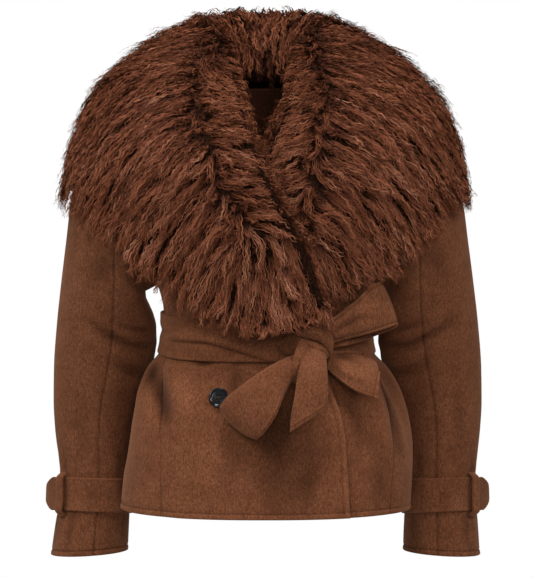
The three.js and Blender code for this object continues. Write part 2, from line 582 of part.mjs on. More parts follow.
function lapelPoint(side, row, share) {
  const sign = side === 'right' ? -1 : 1;
  const at = lapel[side];
  const section = (down) => {
    const bent = down ** 0.85;
    const turn = at.topTurn(row) + (at.lowTurn(row) - at.topTurn(row)) * bent;
    const z = at.topZ(row) + (at.lowZ(row) - at.topZ(row)) * down;
    const point = hullPoint(turn, z, side === 'right' ? overlapLift(turn, z) : 0);
    const reach = side === 'left' && point.x > 0 ? leftReach(z) : 1;
    return point.setX(point.x * sign * reach);
  };
  const seam = new THREE.Vector3(sign * at.seamX(row), at.seamY(row), at.seamZ(row));
  return acrossCollar(share, seam, new THREE.Vector3(-sign * at.tuck(row), 0, 0), section);
}

function backCollarPoint(turn, share) {
  const facing = Math.min(0, Math.cos(rad(turn)) - Math.cos(rad(BACK_COLLAR.topTurn)));
  const middleShare = Math.sin(rad((Math.abs(facing) / 0.88) * 90));
  const topZ = BACK_COLLAR.topZ + (BACK_COLLAR.midTopZ - BACK_COLLAR.topZ) * middleShare;
  const lowZ = BACK_COLLAR.lowZ + (BACK_COLLAR.midLowZ - BACK_COLLAR.lowZ) * middleShare;
  const section = (down) => {
    const point = hullPoint(turn, topZ + (lowZ - topZ) * down);
    return turn < 180 ? point.setX(point.x * leftReach(point.z)) : point;
  };
  const round = rad(turn);
  const seamZ = NECK_SEAM.sideZ + (NECK_SEAM.backZ - NECK_SEAM.sideZ) * middleShare;
  const start = Math.cos(rad(BACK_COLLAR.topTurn));
  const rearward = (start - Math.cos(round)) / (start + 1);
  const seamY = NECK_SEAM.sideY + (NECK_SEAM.back - NECK_SEAM.sideY) * rearward;
  const seamX = signedPower(Math.sin(round), 2 / FUR_POWER.back) * NECK_SEAM.side;
  const seam = new THREE.Vector3(seamX, seamY, seamZ);
  const inward = new THREE.Vector3(-Math.sin(round), -rearward, 0).multiplyScalar(NECK_SEAM.tuck);
  return acrossCollar(share, seam, inward, section);
}

// Fur is thinner where the collar lies on the tops of the sleeves.
function pileDepth(turn, share) {
  if (share < NECK_SHARE) return PILE.neck;
  const down = (share - NECK_SHARE) / (1 - NECK_SHARE);
  const overArm = smoothStep(38, 60, Math.abs(turn)) * smoothStep(150, 128, Math.abs(turn));
  const middle = PILE.middle + (PILE.arm - PILE.middle) * overArm * smoothStep(0.2, 0.5, down);
  const grown = PILE.neck + (middle - PILE.neck) * smoothStep(0, 0.25, down);
  const edge = PILE.edge + (PILE.armEdge - PILE.edge) * overArm;
  return edge + (grown - edge) * (1 - down ** 3);
}

const collarShares = [0, 0.08, 0.16, 0.24, 0.31, 0.39, 0.48, 0.58, 0.68, 0.78, 0.88, 0.95, 1];

// joins are the columns where the next stretch of collar begins, so that both end in one plane
function collarWall(surface, turnOf, columns, joins, handed) {
  const moved = offsetSurface(surface, 0.04, 0.01, handed);
  const outer = grid(collarShares, columns, surface);
  const inner = grid(collarShares, columns, (u, share) => {
    const near = THREE.MathUtils.clamp(share, 0.02, 0.99);
    const shift = moved(u, near, -pileDepth(turnOf(u, share), share)).sub(surface(u, near));
    if (!joins.includes(u)) return surface(u, share).add(shift);
    const along = surface(u, near + 0.01).sub(surface(u, near - 0.01));
    const square = new THREE.Vector3(along.z, 0, -along.x);
    square.setLength(pileDepth(turnOf(u, share), share));
    return surface(u, share).addScaledVector(square, Math.sign(square.dot(shift)));
  });
  return wallGeometry(outer, inner);
}

function addCollar() {
  for (const side of ['right', 'left']) {
    const last = (side === 'right' ? RIGHT_LAPEL : LEFT_LAPEL).length - 1;
    const columns = spread(0, last, 2 * last);
    columns[0] = 0.01;
    const handed = side === 'right' ? -1 : 1;
    const at = lapel[side];
    const turnOf = (row, share) => at.topTurn(row) + (at.lowTurn(row) - at.topTurn(row)) * share;
    const surface = (row, share) => lapelPoint(side, row, share);
    const wall = collarWall(surface, turnOf, columns, [columns[0]], handed);
    addPiece(`fur_collar_${side}`, wall, 'fur');
  }
  const turns = spread(BACK_COLLAR.topTurn + 0.15, 360 - BACK_COLLAR.topTurn - 0.15, 18);
  const turnOf = (turn) => (turn > 180 ? 360 - turn : turn);
  const back = collarWall(backCollarPoint, turnOf, turns, [turns[0], turns.at(-1)], -1);
  addPiece('fur_collar_back', back, 'fur');
}

// Belt round the waist, made from the body's points moved out
const beltTurns = spread(-180, 170, 35);
const beltRows = [-1, -0.34, 0.34, 1];

function beltPoint(turn, across, out) {
  const middle = BELT_MIDDLE.side + (BELT_MIDDLE.front - BELT_MIDDLE.side) * Math.max(0, Math.cos(rad(turn)))
    + (BELT_MIDDLE.back - BELT_MIDDLE.side) * Math.max(0, -Math.cos(rad(turn)));
  const overLap = LAP * smoothStep(-64, -40, turn) * smoothStep(62, 36, turn);
  return bodyPoint(turn, middle + (across * BELT_WIDTH) / 2, BELT_EASE + overLap + out);
}

function addBelt() {
  const outer = grid(beltRows, beltTurns, (turn, across) => beltPoint(turn, across, BELT_THICKNESS));
  const inner = grid(beltRows, beltTurns, (turn, across) => beltPoint(turn, across, 0));
  addPiece('belt_band', wallGeometry(outer, inner, true), 'wool');
}

// A flat band through stations. The grid runs along it, from edge a to edge b across it.
function bandWall(stations, steps, across, thickness, handed) {
  const at = curves(numbered(stations), 'index', 'ax', 'az', 'bx', 'bz', 'lift', 'crown');
  const surface = (share, station) => {
    const x = at.ax(station) + (at.bx(station) - at.ax(station)) * share;
    const z = at.az(station) + (at.bz(station) - at.az(station)) * share;
    const bow = at.crown(station) * 4 * share * (1 - share);
    return new THREE.Vector3(x, frontAt(x, z) - at.lift(station) - bow, z);
  };
  const moved = offsetSurface(surface, 0.02, 0.02, handed);
  const vs = spread(0, stations.length - 1, steps);
  const us = spread(0, 1, across);
  const outer = grid(vs, us, surface);
  const inner = grid(vs, us, (u, v) => {
    return moved(u, THREE.MathUtils.clamp(v, 0.02, stations.length - 1.02), -thickness);
  });
  return wallGeometry(outer, inner);
}

function knotGeometry(grow) {
  const geometry = mergedGeometry(new THREE.SphereGeometry(1, 18, 12));
  const p = geometry.attributes.position;
  const power = 0.72;
  const lean = rad(KNOT.lean);
  const middleY = frontAt(KNOT.x, KNOT.z) - KNOT.lift;
  for (let i = 0; i < p.count; i++) {
    const wide = signedPower(p.getX(i), power) * (KNOT.halfWide + grow);
    const high = signedPower(p.getY(i), power) * (KNOT.halfHigh + grow);
    const deep = signedPower(p.getZ(i), power) * (KNOT.halfDeep + grow);
    const x = KNOT.x + wide * Math.cos(lean) + high * Math.sin(lean);
    const z = KNOT.z + high * Math.cos(lean) - wide * Math.sin(lean);
    p.setXYZ(i, x, middleY + deep, z);
  }
  return facingOut(geometry);
}

function addBow() {
  addPiece('belt_knot', knotGeometry(0), 'wool');
  const hole = toManifold(knotGeometry(SEAM));
  const bands = [
    ['bow_loop_upper', UPPER_LOOP, 20, 4, 1],
    ['bow_loop_lower', LOWER_LOOP, 20, 4, 1],
    ['belt_tail_centre', CENTRE_TAIL, 8, 4, 1],
    ['belt_tail_side', SIDE_TAIL, 8, 4, 1],
  ];
  for (const [name, stations, steps, across, handed] of bands) {
    const band = toManifold(bandWall(stations, steps, across, BELT_THICKNESS, handed));
    addPiece(name, fromManifold(band.subtract(hole)), 'wool');
  }
}

// Sleeve row under the middle line of the cuff strap
function strapMiddle(t) {
  return STRAP_MIDDLE + STRAP_TILT * Math.sin(rad(t)) + (STRAP_SLOPE * (1 - Math.cos(rad(t)))) / 2;
}

// Cuff straps: a band that starts under its own end, goes once round the sleeve and ends in a point.
function strapWall(side) {
  const place = (share, t, out) => {
    const end = Math.min(1, (STRAP_TURNS.end - t) / STRAP_POINT) ** 0.8;
    const half = (STRAP_WIDTH / 2) * (0.2 + 0.8 * end);
    const over = (STRAP_THICKNESS + 0.9) * smoothStep(STRAP_TURNS.start + 330, STRAP_TURNS.start + 354, t);
    const proud = STRAP_TIP_RISE * smoothStep(STRAP_TURNS.end - 36, STRAP_TURNS.end, t);
    const row = strapMiddle(t) + (share * half) / ROW_HEIGHT;
    const ring = sleeveRing(side, t, row);
    const away = sleeveOut(side, t, row);
    return ring.addScaledVector(away, STRAP_EASE + over + proud + out);
  };
  const turns = spread(STRAP_TURNS.start, STRAP_TURNS.end - STRAP_POINT, 21);
  turns.push(...[0.65, 0.35, 0.12, 0].map((share) => STRAP_TURNS.end - share * STRAP_POINT));
  const outer = grid([-1, 0, 1], turns, (t, share) => place(share, t, STRAP_THICKNESS));
  const inner = grid([-1, 0, 1], turns, (t, share) => place(share, t, 0));
  return wallGeometry(outer, inner);
}

function sleeveOut(side, t, row) {
  const sign = side === 'right' ? -1 : 1;
  const across = (sleeve.outX(row) - sleeve.inX(row)) / 2;
  const deep = sleeve.depth(row);
  return new THREE.Vector3((sign * Math.cos(rad(t))) / across, Math.sin(rad(t)) / deep, 0).normalize();
}

// The keeper is a narrow loop of cloth over the strap, sewn to the sleeve above and below it.
function keeperWall(side) {
  const rows = [-1.24, -1.08, -0.95, 0, 0.95, 1.08, 1.24];
  const lifts = [0.9, 4.6, 11.4, 12, 11.4, 4.6, 0.9];
  const place = (wide, k, out) => {
    const down = (rows[k] * STRAP_WIDTH) / 2;
    const row = strapMiddle(KEEPER.turn) + down / ROW_HEIGHT;
    const t = KEEPER.turn + wide * KEEPER.halfTurn;
    return sleeveRing(side, t, row).addScaledVector(sleeveOut(side, t, row), lifts[k] + out);
  };
  const ks = rows.map((_, k) => k);
  const us = [-1, -0.4, 0.4, 1];
  const outer = grid(ks, us, (wide, k) => place(wide, k, Math.abs(wide) === 1 ? 1.6 : 2.8));
  const inner = grid(ks, us, (wide, k) => place(wide, k, 0));
  return wallGeometry(outer, inner);
}

// A four-hole button with a raised rim
function addButton() {
  const r = BUTTON_RADIUS;
  const rim = [[r - 2, 0], [r, 1.4], [r, 3.2], [r - 1.4, 4.4], [r - 3.2, 3.4], [r - 5, 2.7]];
  const outline = [[0, 0], ...rim, [0, 2.7]];
  const disc = new THREE.LatheGeometry(outline.map(([x, y]) => new THREE.Vector2(x, y)), 28);
  let solid = toManifold(facingOut(mergedGeometry(disc)));
  for (const [x, y] of [[-1, -1], [1, -1], [1, 1], [-1, 1]]) {
    const drill = new THREE.CylinderGeometry(1.1, 1.1, 12, 8);
    drill.translate(x * 2.3, 0, y * 2.3);
    solid = solid.subtract(toManifold(facingOut(mergedGeometry(drill))));
  }
  const geometry = fromManifold(solid);
  const at = new THREE.Vector3(BUTTON.x, frontAt(BUTTON.x, BUTTON.z), BUTTON.z);
  const beside = new THREE.Vector3(BUTTON.x + 4, frontAt(BUTTON.x + 4, BUTTON.z), BUTTON.z).sub(at);
  const above = new THREE.Vector3(BUTTON.x, frontAt(BUTTON.x, BUTTON.z + 4), BUTTON.z + 4).sub(at);
  const out = beside.cross(above).normalize();
  const quaternion = new THREE.Quaternion().setFromUnitVectors(new THREE.Vector3(0, 1, 0), out);
  const mesh = new THREE.Mesh(geometry, new THREE.MeshStandardMaterial(materials.button));
  mesh.name = 'button';
  mesh.quaternion.copy(quaternion);
  mesh.position.copy(at.addScaledVector(out, BUTTON_STAND));
  coat.add(mesh);
}

addFronts();
addBack();
for (const side of ['right', 'left']) {
  addSide(side);
  addSleeve(side);
}
addCollar();
addBelt();
addBow();
for (const side of ['right', 'left']) {
  addPiece(`cuff_strap_${side}`, strapWall(side), 'wool');
  addPiece(`cuff_keeper_${side}`, keeperWall(side), 'wool');
}
addButton();

export default coat;
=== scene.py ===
import bpy
import numpy as np
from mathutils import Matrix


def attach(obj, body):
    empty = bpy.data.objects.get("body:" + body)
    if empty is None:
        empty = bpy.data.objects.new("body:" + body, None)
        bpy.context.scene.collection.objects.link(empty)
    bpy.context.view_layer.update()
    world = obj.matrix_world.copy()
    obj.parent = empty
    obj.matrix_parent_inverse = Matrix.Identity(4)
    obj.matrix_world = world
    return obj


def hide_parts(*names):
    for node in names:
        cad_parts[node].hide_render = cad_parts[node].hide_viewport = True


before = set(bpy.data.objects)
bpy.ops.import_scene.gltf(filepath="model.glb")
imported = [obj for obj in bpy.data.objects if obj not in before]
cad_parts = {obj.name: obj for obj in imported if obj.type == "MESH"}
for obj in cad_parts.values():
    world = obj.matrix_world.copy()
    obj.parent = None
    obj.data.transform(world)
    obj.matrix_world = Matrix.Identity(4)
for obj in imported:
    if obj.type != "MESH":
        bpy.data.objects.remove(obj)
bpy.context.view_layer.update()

MM = 0.001


def named(columns, rows):
    """A table of sizes: each column's name with its values."""
    return dict(zip(columns.split(), np.array(rows, float).T))


def by_step(columns, rows):
    """A table whose rows are numbered from 0."""
    return named("step " + columns, [[i, *row] for i, row in enumerate(rows)])


# Driving sizes
WALL = 3.0
LAP = 4.4
BODY_POWER = 2.4
FUR_POWER_FRONT = 1.8
FUR_POWER_BACK = 2.3
BELT_WIDTH = 54.0
BELT_THICKNESS = 3.6
STRAP_WIDTH = 49.0
STRAP_THICKNESS = 3.2
SEAM_GAP_TURN = 0.02

# Rings of the body from hem to neck
BODY = named("h right left front back mid z_side z_front z_back", [
    [-600, 199, 203, 134, 132, -12, -592, -596, -594],
    [-560, 196, 205, 130, 130, -11, -558, -562, -560],
    [-510, 190, 207, 126, 127, -9, -510, -510, -510],
    [-465, 184, 201, 121, 121, -7, -465, -465, -465],
    [-430, 178, 190, 115, 114, -6, -430, -430, -430],
    [-400, 166, 173, 108, 107, -5, -400, -400, -400],
    [-372, 143, 150, 101, 99, -4, -372, -372, -372],
    [-345, 139, 146, 98, 95, -3, -345, -345, -345],
    [-315, 140, 147, 99, 96, -2, -315, -315, -315],
    [-280, 149, 155, 106, 101, 0, -280, -280, -280],
    [-230, 163, 168, 116, 107, 2, -230, -230, -230],
    [-180, 172, 176, 117, 111, 4, -180, -180, -180],
    [-130, 180, 184, 110, 113, 6, -130, -130, -130],
    [-90, 186, 188, 96, 106, 8, -82, -86, -84],
    [-60, 190, 190, 80, 94, 10, -50, -52, -48],
    [-30, 140, 140, 66, 78, 12, -26, -28, -20],
    [0, 76, 76, 52, 60, 12, 0, -6, -2],
])
# Soft folds of the skirt, the same as in the solids
FOLDS = named("turn turn_low top bottom depth spread", [
    [-64, -42, -386, -480, 6, 7],
    [66, 78, -386, -530, 7, 8],
    [-96, -88, -384, -540, 5, 9],
    [118, 112, -384, -520, 6, 9],
    [158, 162, -382, -500, 5, 8],
    [-138, -144, -382, -550, 6, 9],
    [-172, -170, -382, -470, 4, 7],
])
SKIRT_BOTTOM = -600.0
SIDE_DIP_START = -328.0
ARMHOLE_MIDDLE = -173.0
ARMHOLE_REACH = 111.0
ARMHOLE_TURN = 30.0
SLEEVE_HEAD_SHARE = 1 - 0.6 / 68  # leaves the sleeve about 1 mm free inside the armhole
PRINCESS_JOIN = 140.0  # sleeve turn at which the princess seam meets the armhole

RIGHT_EDGE = named("h across", [
    [-600, 113], [-495, 107], [-460, 101], [-418, 87], [-380, 80], [-310, 78], [-235, 58],
    [-190, 34], [-135, 4], [-101, -14], [-60, -34], [-30, -48], [0, -58],
])
LEFT_EDGE = named("h across", [
    [-600, -92], [-418, -84], [-345, -80], [-280, -74], [-235, -58], [-190, -40], [-135, -16],
    [-101, 8], [-60, 34], [-30, 48], [0, 58],
])
RIGHT_PRINCESS = named("h turn", [
    [-600, 40], [-500, 44], [-420, 53], [-345, 66], [-290, 67], [-258, 70.7], [0, 70.7],
])
LEFT_PRINCESS = named("h turn", [
    [-600, 54], [-500, 56], [-420, 60], [-345, 66], [-290, 67], [-258, 70.7], [0, 70.7],
])
BACK_SEAM = named("h turn", [[-600, 116], [-420, 114], [-345, 112], [-258, 109.3], [0, 109.3]])

SLEEVE = named("row out_x out_z in_x in_z middle depth", [
    [1, 230, -72, 166, -292, 5, 68],
    [2, 254, -112, 165, -302, 8, 71],
    [3, 270, -164, 160, -313, 13, 71],
    [4, 278, -222, 155, -326, 20, 69],
    [5, 287, -290, 152, -342, 29, 66],
    [6, 293, -340, 152, -366, 38, 64],
    [7, 298, -400, 162, -410, 48, 61],
    [8, 299, -450, 177, -454, 54, 57],
    [9, 296, -500, 186, -500, 57, 53],
    [10, 291, -545, 189, -540, 58, 50],
    [11, 290, -580, 190, -575, 58, 49],
    [12, 296, -620, 192, -615, 58, 52],
    [13, 303, -666, 194, -660, 58, 54],
])
LEFT_SLEEVE_SHIFT = named("row shift", [[0, 4], [3, 8], [8, 10], [11, 10], [13, 4]])
FRONT_SEAM_TURN = 260.0
BACK_SEAM_TURN = 100.0
LAST_ROW = 13.0
STRAP_MIDDLE = 10.95
STRAP_TILT = 0.12
STRAP_SLOPE = 0.24
ROW_HEIGHT = 38.0

HULL = named("z half front back", [
    [-370, 283, 136, 150],
    [-310, 283, 138, 150],
    [-260, 283, 145, 150],
    [-210, 283, 151, 150],
    [-165, 283, 151, 154],
    [-115, 277, 146, 158],
    [-65, 264, 132, 158],
    [-14, 242, 104, 152],
    [30, 200, 70, 140],
    [62, 156, 38, 126],
    [84, 113, 12, 109],
    [100, 86, -8, 94],
    [112, 58, -36, 80],
])
LAPEL_COLUMNS = "top_turn top_z low_turn low_z seam_x seam_y seam_z tuck"
LAPEL = {
    "right": by_step(LAPEL_COLUMNS, [
        [97, 96, 97, -166, 64, 14, 4, 22],
        [58, 90, 82, -164, 63, -10, 3, 18],
        [31, 72, 69, -174, 60, -34, 0, 13],
        [15, 42, 59, -200, 56, -54, -8, 8],
        [9, -5, 48, -229, 46, -84, -34, 4],
        [5.4, -50, 38, -270, 34, -112, -66, 2],
        [1.3, -101, 30, -291, 18, -142, -110, 1],
        [-2.6, -135, 21, -321, 2, -156, -140, 0],
        [-8.8, -190, 13, -334, -26, -160, -192, 0],
        [-13.7, -236, 5, -349, -48, -156, -238, 0],
        [-16.6, -280, -5, -353, -62, -148, -281, 0],
        [-18.6, -310, -14, -338, -72, -142, -311, 0],
    ]),
    "left": by_step(LAPEL_COLUMNS, [
        [97, 96, 97, -166, 64, 14, 4, 22],
        [58, 91, 82, -165, 63, -10, 3, 18],
        [31, 76, 69, -176, 60, -34, 0, 13],
        [14, 44, 61, -200, 56, -54, -8, 8],
        [10, 5, 51, -221, 48, -80, -30, 4],
        [7, -35, 43, -256, 38, -100, -54, 2],
        [2, -75, 36, -273, 20, -122, -88, 1],
        [-1, -112, 29.5, -282, 4, -132, -118, 0],
        [-5, -150, 25, -300, -12, -134, -152, 0],
        [0, -210, 21, -314, 8, -134, -212, 0],
        [7, -265, 17.5, -320, 34, -128, -266, 0],
    ]),
}
BACK_TOP_TURN = 97.0
BACK_TOP_Z, BACK_MID_TOP_Z = 96.0, 111.0
BACK_LOW_Z, BACK_MID_LOW_Z = -166.0, -176.0
NECK_SIDE, NECK_SIDE_Y, NECK_BACK, NECK_SIDE_Z, NECK_BACK_Z, NECK_TUCK = 64.0, 14.0, 58.0, 4.0, 2.0, 22.0
NECK_SHARE = 0.24
# Each pair of turns, heights or shares here runs from where its effect starts to where it is whole
OVERLAP_LIFT, OVERLAP_TURNS, OVERLAP_HEIGHTS = 21.0, (32, 14), (-30, -110)
LEFT_FUR_REACH, LEFT_FUR_HEIGHTS, HULL_HALF = 3.0, (80, -60), 283.0
PILE_EDGE, PILE_NECK, PILE_MIDDLE, PILE_ARM, PILE_ARM_EDGE = 7.0, 15.0, 20.0, 12.0, 5.0
PILE_ARM_FRONT, PILE_ARM_BACK, PILE_ARM_DOWN = (38, 60), (150, 128), (0.2, 0.5)

BAND_COLUMNS = "ax az bx bz lift crown"
BANDS = {
    "bow_loop_upper": by_step(BAND_COLUMNS, [
        [70, -340, 84, -366, 24, 3],
        [96, -325, 108, -358, 38, 5],
        [124, -303, 140, -350, 40, 6],
        [149, -281, 170, -341, 29, 4],
        [160, -277, 184, -336, 18, 1],
        [157, -279, 182, -340, 8, -3],
        [136, -296, 150, -354, 8, -5],
        [108, -314, 120, -364, 24, -4],
        [82, -334, 88, -370, 13, -1],
    ]),
    "bow_loop_lower": by_step(BAND_COLUMNS, [
        [46, -374, 40, -402, 24, 3],
        [12, -390, 26, -428, 34, 6],
        [-22, -412, 14, -458, 36, 7],
        [-50, -434, -4, -483, 30, 5],
        [-61, -449, -13, -490, 20, 1],
        [-54, -444, -8, -485, 12, -2],
        [-26, -422, 10, -462, 9, -2],
        [8, -398, 24, -430, 10, -1],
        [40, -380, 36, -402, 14, 0],
    ]),
    "belt_tail_centre": by_step(BAND_COLUMNS, [
        [55, -366, 79, -368, 30, 3],
        [51, -384, 82, -385, 40, 6],
        [45, -404, 83, -404, 44, 5],
        [41, -430, 84, -426, 44, 4],
        [36, -456, 82, -438, 42, 3],
        [34, -478, 79, -448, 40, 2],
    ]),
    "belt_tail_side": by_step(BAND_COLUMNS, [
        [88, -372, 84, -396, 17, 2],
        [112, -372, 102, -412, 22, 4],
        [134, -374, 122, -425, 32, 5],
        [148, -380, 140, -432, 44, 3],
        [156, -402, 152, -436, 52, 1],
    ]),
}
# The belt's end over the knot, its start beside it, and the fold under the centre tail
KNOT_BANDS = {
    "knot_wrap": by_step(BAND_COLUMNS, [
        [38.5, -345.5, 44.5, -351.5, 26, 3],
        [50.5, -337.0, 51.9, -354.0, 33, 7],
        [66.8, -332.0, 64.3, -357.0, 38, 9],
        [79.0, -337.0, 72.5, -359.0, 40, 9],
        [89.8, -348.2, 79.8, -364.5, 40, 8],
        [93.6, -360.6, 85.0, -371.3, 38, 6],
        [92.5, -371.0, 87.6, -377.0, 35, 4],
        [88.0, -381.0, 84.5, -381.0, 30, 1],
    ]),
    "knot_start": by_step(BAND_COLUMNS, [
        [15.0, -364.5, 27.4, -378.5, 7, 2],
        [27.5, -353.5, 36.0, -377.8, 14, 5],
        [38.4, -345.6, 45.9, -373.0, 24, 6],
        [47.0, -346.0, 53.0, -364.5, 29, 4],
    ]),
    "bow_fold": by_step(BAND_COLUMNS, [
        [49.0, -354.0, 60.0, -364.0, 32, 3],
        [43.0, -372.0, 56.0, -378.0, 36, 4],
        [38.6, -389.0, 52.0, -392.0, 33, 4],
        [35.5, -401.0, 48.0, -404.0, 27, 3],
        [40.0, -413.0, 47.0, -416.0, 21, 1],
    ]),
}
KNOT_X, KNOT_Z, KNOT_LIFT = 66.5, -363.0, 24.0
KNOT_WIDE, KNOT_HIGH, KNOT_DEEP = 25.0, 22.5, 16.0  # half sizes
KNOT_LEAN = 18.0  # degrees
KNOT_POWER = 0.72  # less than 1 squares the knot
BUTTON_X, BUTTON_Z, BUTTON_STAND = -60.0, -435.0, 0.5
BELT_FRONT_Z, BELT_SIDE_Z, BELT_BACK_Z = -360.0, -347.0, -340.0
BELT_EASE = 1.5
BELT_LAP_TURNS = (-64, -40), (62, 36)  # from where it starts to rise over the lapped fronts, on each side
STRAP_EASE = 1.3
STRAP_START, STRAP_END, STRAP_POINT, STRAP_TIP_RISE = -26.0, 373.0, 24.0, 14.0
STRAP_LAP, STRAP_LAP_TURNS, STRAP_RISE_TURN = 0.9, (304, 328), 337.0
KEEPER_TURN, KEEPER_HALF_TURN, KEEPER_THICKNESS = -40.0, 5.0, 3.0


# Curves and surfaces of the solids, for arrays of numbers. The waist's row at -372, the strap's slope, the
# keepers and the far end of the bow's upper loop are closer to the photo here than in the solids.


def smooth_step(start, end, x):
    t = np.clip((x - start) / (end - start), 0, 1)
    return t * t * (3 - 2 * t)


def signed_power(x, power):
    return np.sign(x) * np.abs(x) ** power


def unit(vectors):
    return vectors / np.maximum(np.linalg.norm(vectors, axis=-1, keepdims=True), 1e-9)


def through(table, key, column):
    at, value = table[key], table[column]
    step = np.diff(value) / np.diff(at)
    slope = np.concatenate([step[:1], np.zeros(len(at) - 2), step[-1:]])
    turning = step[:-1] * step[1:] <= 0
    total = np.where(turning, 1, step[:-1] + step[1:])
    slope[1:-1] = np.where(turning, 0, 2 * step[:-1] * step[1:] / total)

    def value_at(x):
        i = np.clip(np.searchsorted(at, x) - 1, 0, len(at) - 2)
        wide = at[i + 1] - at[i]
        t = np.clip((x - at[i]) / wide, 0, 1)
        low = value[i] * (1 + 2 * t) + slope[i] * wide * t
        high = value[i + 1] * (3 - 2 * t) - slope[i + 1] * wide * (1 - t)
        return low * (1 - t) ** 2 + high * t**2

    return value_at


def curves(table):
    columns = list(table)
    return {column: through(table, columns[0], column) for column in columns[1:]}


body = curves(BODY)
hull = curves(HULL)
sleeve = curves(SLEEVE)
lapel = {side: curves(LAPEL[side]) for side in LAPEL}
left_shift = through(LEFT_SLEEVE_SHIFT, "row", "shift")
right_edge = through(RIGHT_EDGE, "h", "across")
left_edge = through(LEFT_EDGE, "h", "across")
princess_of = {"right": through(RIGHT_PRINCESS, "h", "turn"), "left": through(LEFT_PRINCESS, "h", "turn")}
back_seam = through(BACK_SEAM, "h", "turn")


def fold_depth(turn, h):
    depth = 0.0
    for turn_top, turn_low, top, bottom, deep, spread in zip(*FOLDS.values()):
        down = np.clip((top - h) / (top - bottom), 0, 1)
        away = (turn - turn_top - (turn_low - turn_top) * down) / spread
        fade = np.abs(np.sin(np.pi * down**0.6)) ** 0.8
        depth = depth + deep * fade * np.exp(-away * away)
    return depth


def body_point(turn, h, out=0.0):
    turn, h = np.broadcast_arrays(np.asarray(turn, float), np.asarray(h, float))
    side, facing = np.sin(np.radians(turn)), np.cos(np.radians(turn))
    reach_x = np.where(side < 0, body["right"](h), body["left"](h))
    reach_y = np.where(facing > 0, body["front"](h), body["back"](h))
    grow = out - fold_depth(np.where(turn > 180, turn - 360, turn), h)
    x = signed_power(side, 2 / BODY_POWER) * (reach_x + grow)
    y = body["mid"](h) - signed_power(facing, 2 / BODY_POWER) * (reach_y + grow)
    toward = np.where(facing > 0, body["z_front"](h), body["z_back"](h))
    z = body["z_side"](h) + (toward - body["z_side"](h)) * facing**2
    return np.stack([x, y, z], -1)


def turn_at(across, h):
    reach = np.where(across < 0, body["right"](h), body["left"](h))
    share = np.minimum(1, np.abs(across) / reach) ** (BODY_POWER / 2)
    return np.sign(across) * np.degrees(np.arcsin(share))


def front_at(x, z):
    return body_point(turn_at(x, z), z, LAP)[..., 1]


def armhole_turn(h):
    share = np.clip((h - ARMHOLE_MIDDLE) / ARMHOLE_REACH, -1, 1)
    return np.where(share >= 1, 90.0, 90 - ARMHOLE_TURN * np.sqrt(1 - share * share))


PRINCESS_TOP = ARMHOLE_MIDDLE + ARMHOLE_REACH * np.cos(np.radians(PRINCESS_JOIN))


def front_side_turn(princess, h):
    return np.where(h < PRINCESS_TOP + 1e-6, princess(h), armhole_turn(h))


def back_side_turn(h):
    return np.where(h < PRINCESS_TOP + 1e-6, back_seam(h), 180 - armhole_turn(h))


def lap_lift(turn, h):
    seam = -front_side_turn(princess_of["right"], h)
    hidden = turn_at(left_edge(h), h) - 3
    return LAP * smooth_step(seam, np.maximum(hidden, seam + 6), turn)


def front_right_surface(share, h):
    start = -front_side_turn(princess_of["right"], h) + SEAM_GAP_TURN
    turn = start + (turn_at(right_edge(h), h) - start) * share
    return body_point(turn, h, lap_lift(turn, h))


def front_left_surface(share, h):
    start = turn_at(left_edge(h), h)
    end = front_side_turn(princess_of["left"], h) - SEAM_GAP_TURN
    return body_point(start + (end - start) * share, h)


def back_surface(share, h):
    start = back_side_turn(h) + SEAM_GAP_TURN
    return body_point(start + (360 - 2 * start) * share, h)


def side_surface(side):
    sign = -1 if side == "right" else 1
    seam_share = np.sin(np.radians(180 - PRINCESS_JOIN))

    def surface(share, h):
        start = princess_of[side](h) + SEAM_GAP_TURN
        end = back_seam(h) - SEAM_GAP_TURN
        turn = start + (end - start) * (share + 1) / 2
        armhole_share = np.minimum(1, np.abs(share) * seam_share)
        clear = 0.5 * (1 - np.abs(share))
        top = ARMHOLE_MIDDLE - ARMHOLE_REACH * np.sqrt(1 - armhole_share**2) - clear
        dip = np.clip((h - SIDE_DIP_START) / (PRINCESS_TOP - SIDE_DIP_START), 0, 1)
        return body_point(sign * turn, h - dip * (PRINCESS_TOP - top))

    return surface


def sleeve_ring(side, t, row):
    sign = -1 if side == "right" else 1
    shift = left_shift(row) if side == "left" else 0.0
    c, s = np.cos(np.radians(t)), np.sin(np.radians(t))
    at = np.maximum(row, 1)
    out_x, in_x, out_z, in_z = (sleeve[name](at) for name in ("out_x", "in_x", "out_z", "in_z"))
    x = (out_x + in_x) / 2 + (out_x - in_x) / 2 * c + shift
    z = (out_z + in_z) / 2 + (out_z - in_z) / 2 * c
    y = sleeve["middle"](at) + sleeve["depth"](at) * s
    return np.stack(np.broadcast_arrays(sign * x, y, z), -1)


def sleeve_surface(side):
    sign = -1 if side == "right" else 1

    def surface(t, row):
        ring = sleeve_ring(side, t, row)
        turn = 90 + ARMHOLE_TURN * SLEEVE_HEAD_SHARE * np.sin(np.radians(t))
        height = ARMHOLE_MIDDLE + ARMHOLE_REACH * SLEEVE_HEAD_SHARE * np.cos(np.radians(t))
        edge = body_point(sign * turn, height)
        near = np.clip(row, 0, 1)
        blend = ((near + near * near * (3 - 2 * near)) / 2)[..., None]
        return edge + (ring - edge) * blend

    return surface


def sleeve_out(side, t, row):
    sign = -1 if side == "right" else 1
    across = (sleeve["out_x"](row) - sleeve["in_x"](row)) / 2
    x = sign * np.cos(np.radians(t)) / across
    y = np.sin(np.radians(t)) / sleeve["depth"](row)
    return unit(np.stack(np.broadcast_arrays(x, y, np.zeros_like(x + y)), -1))


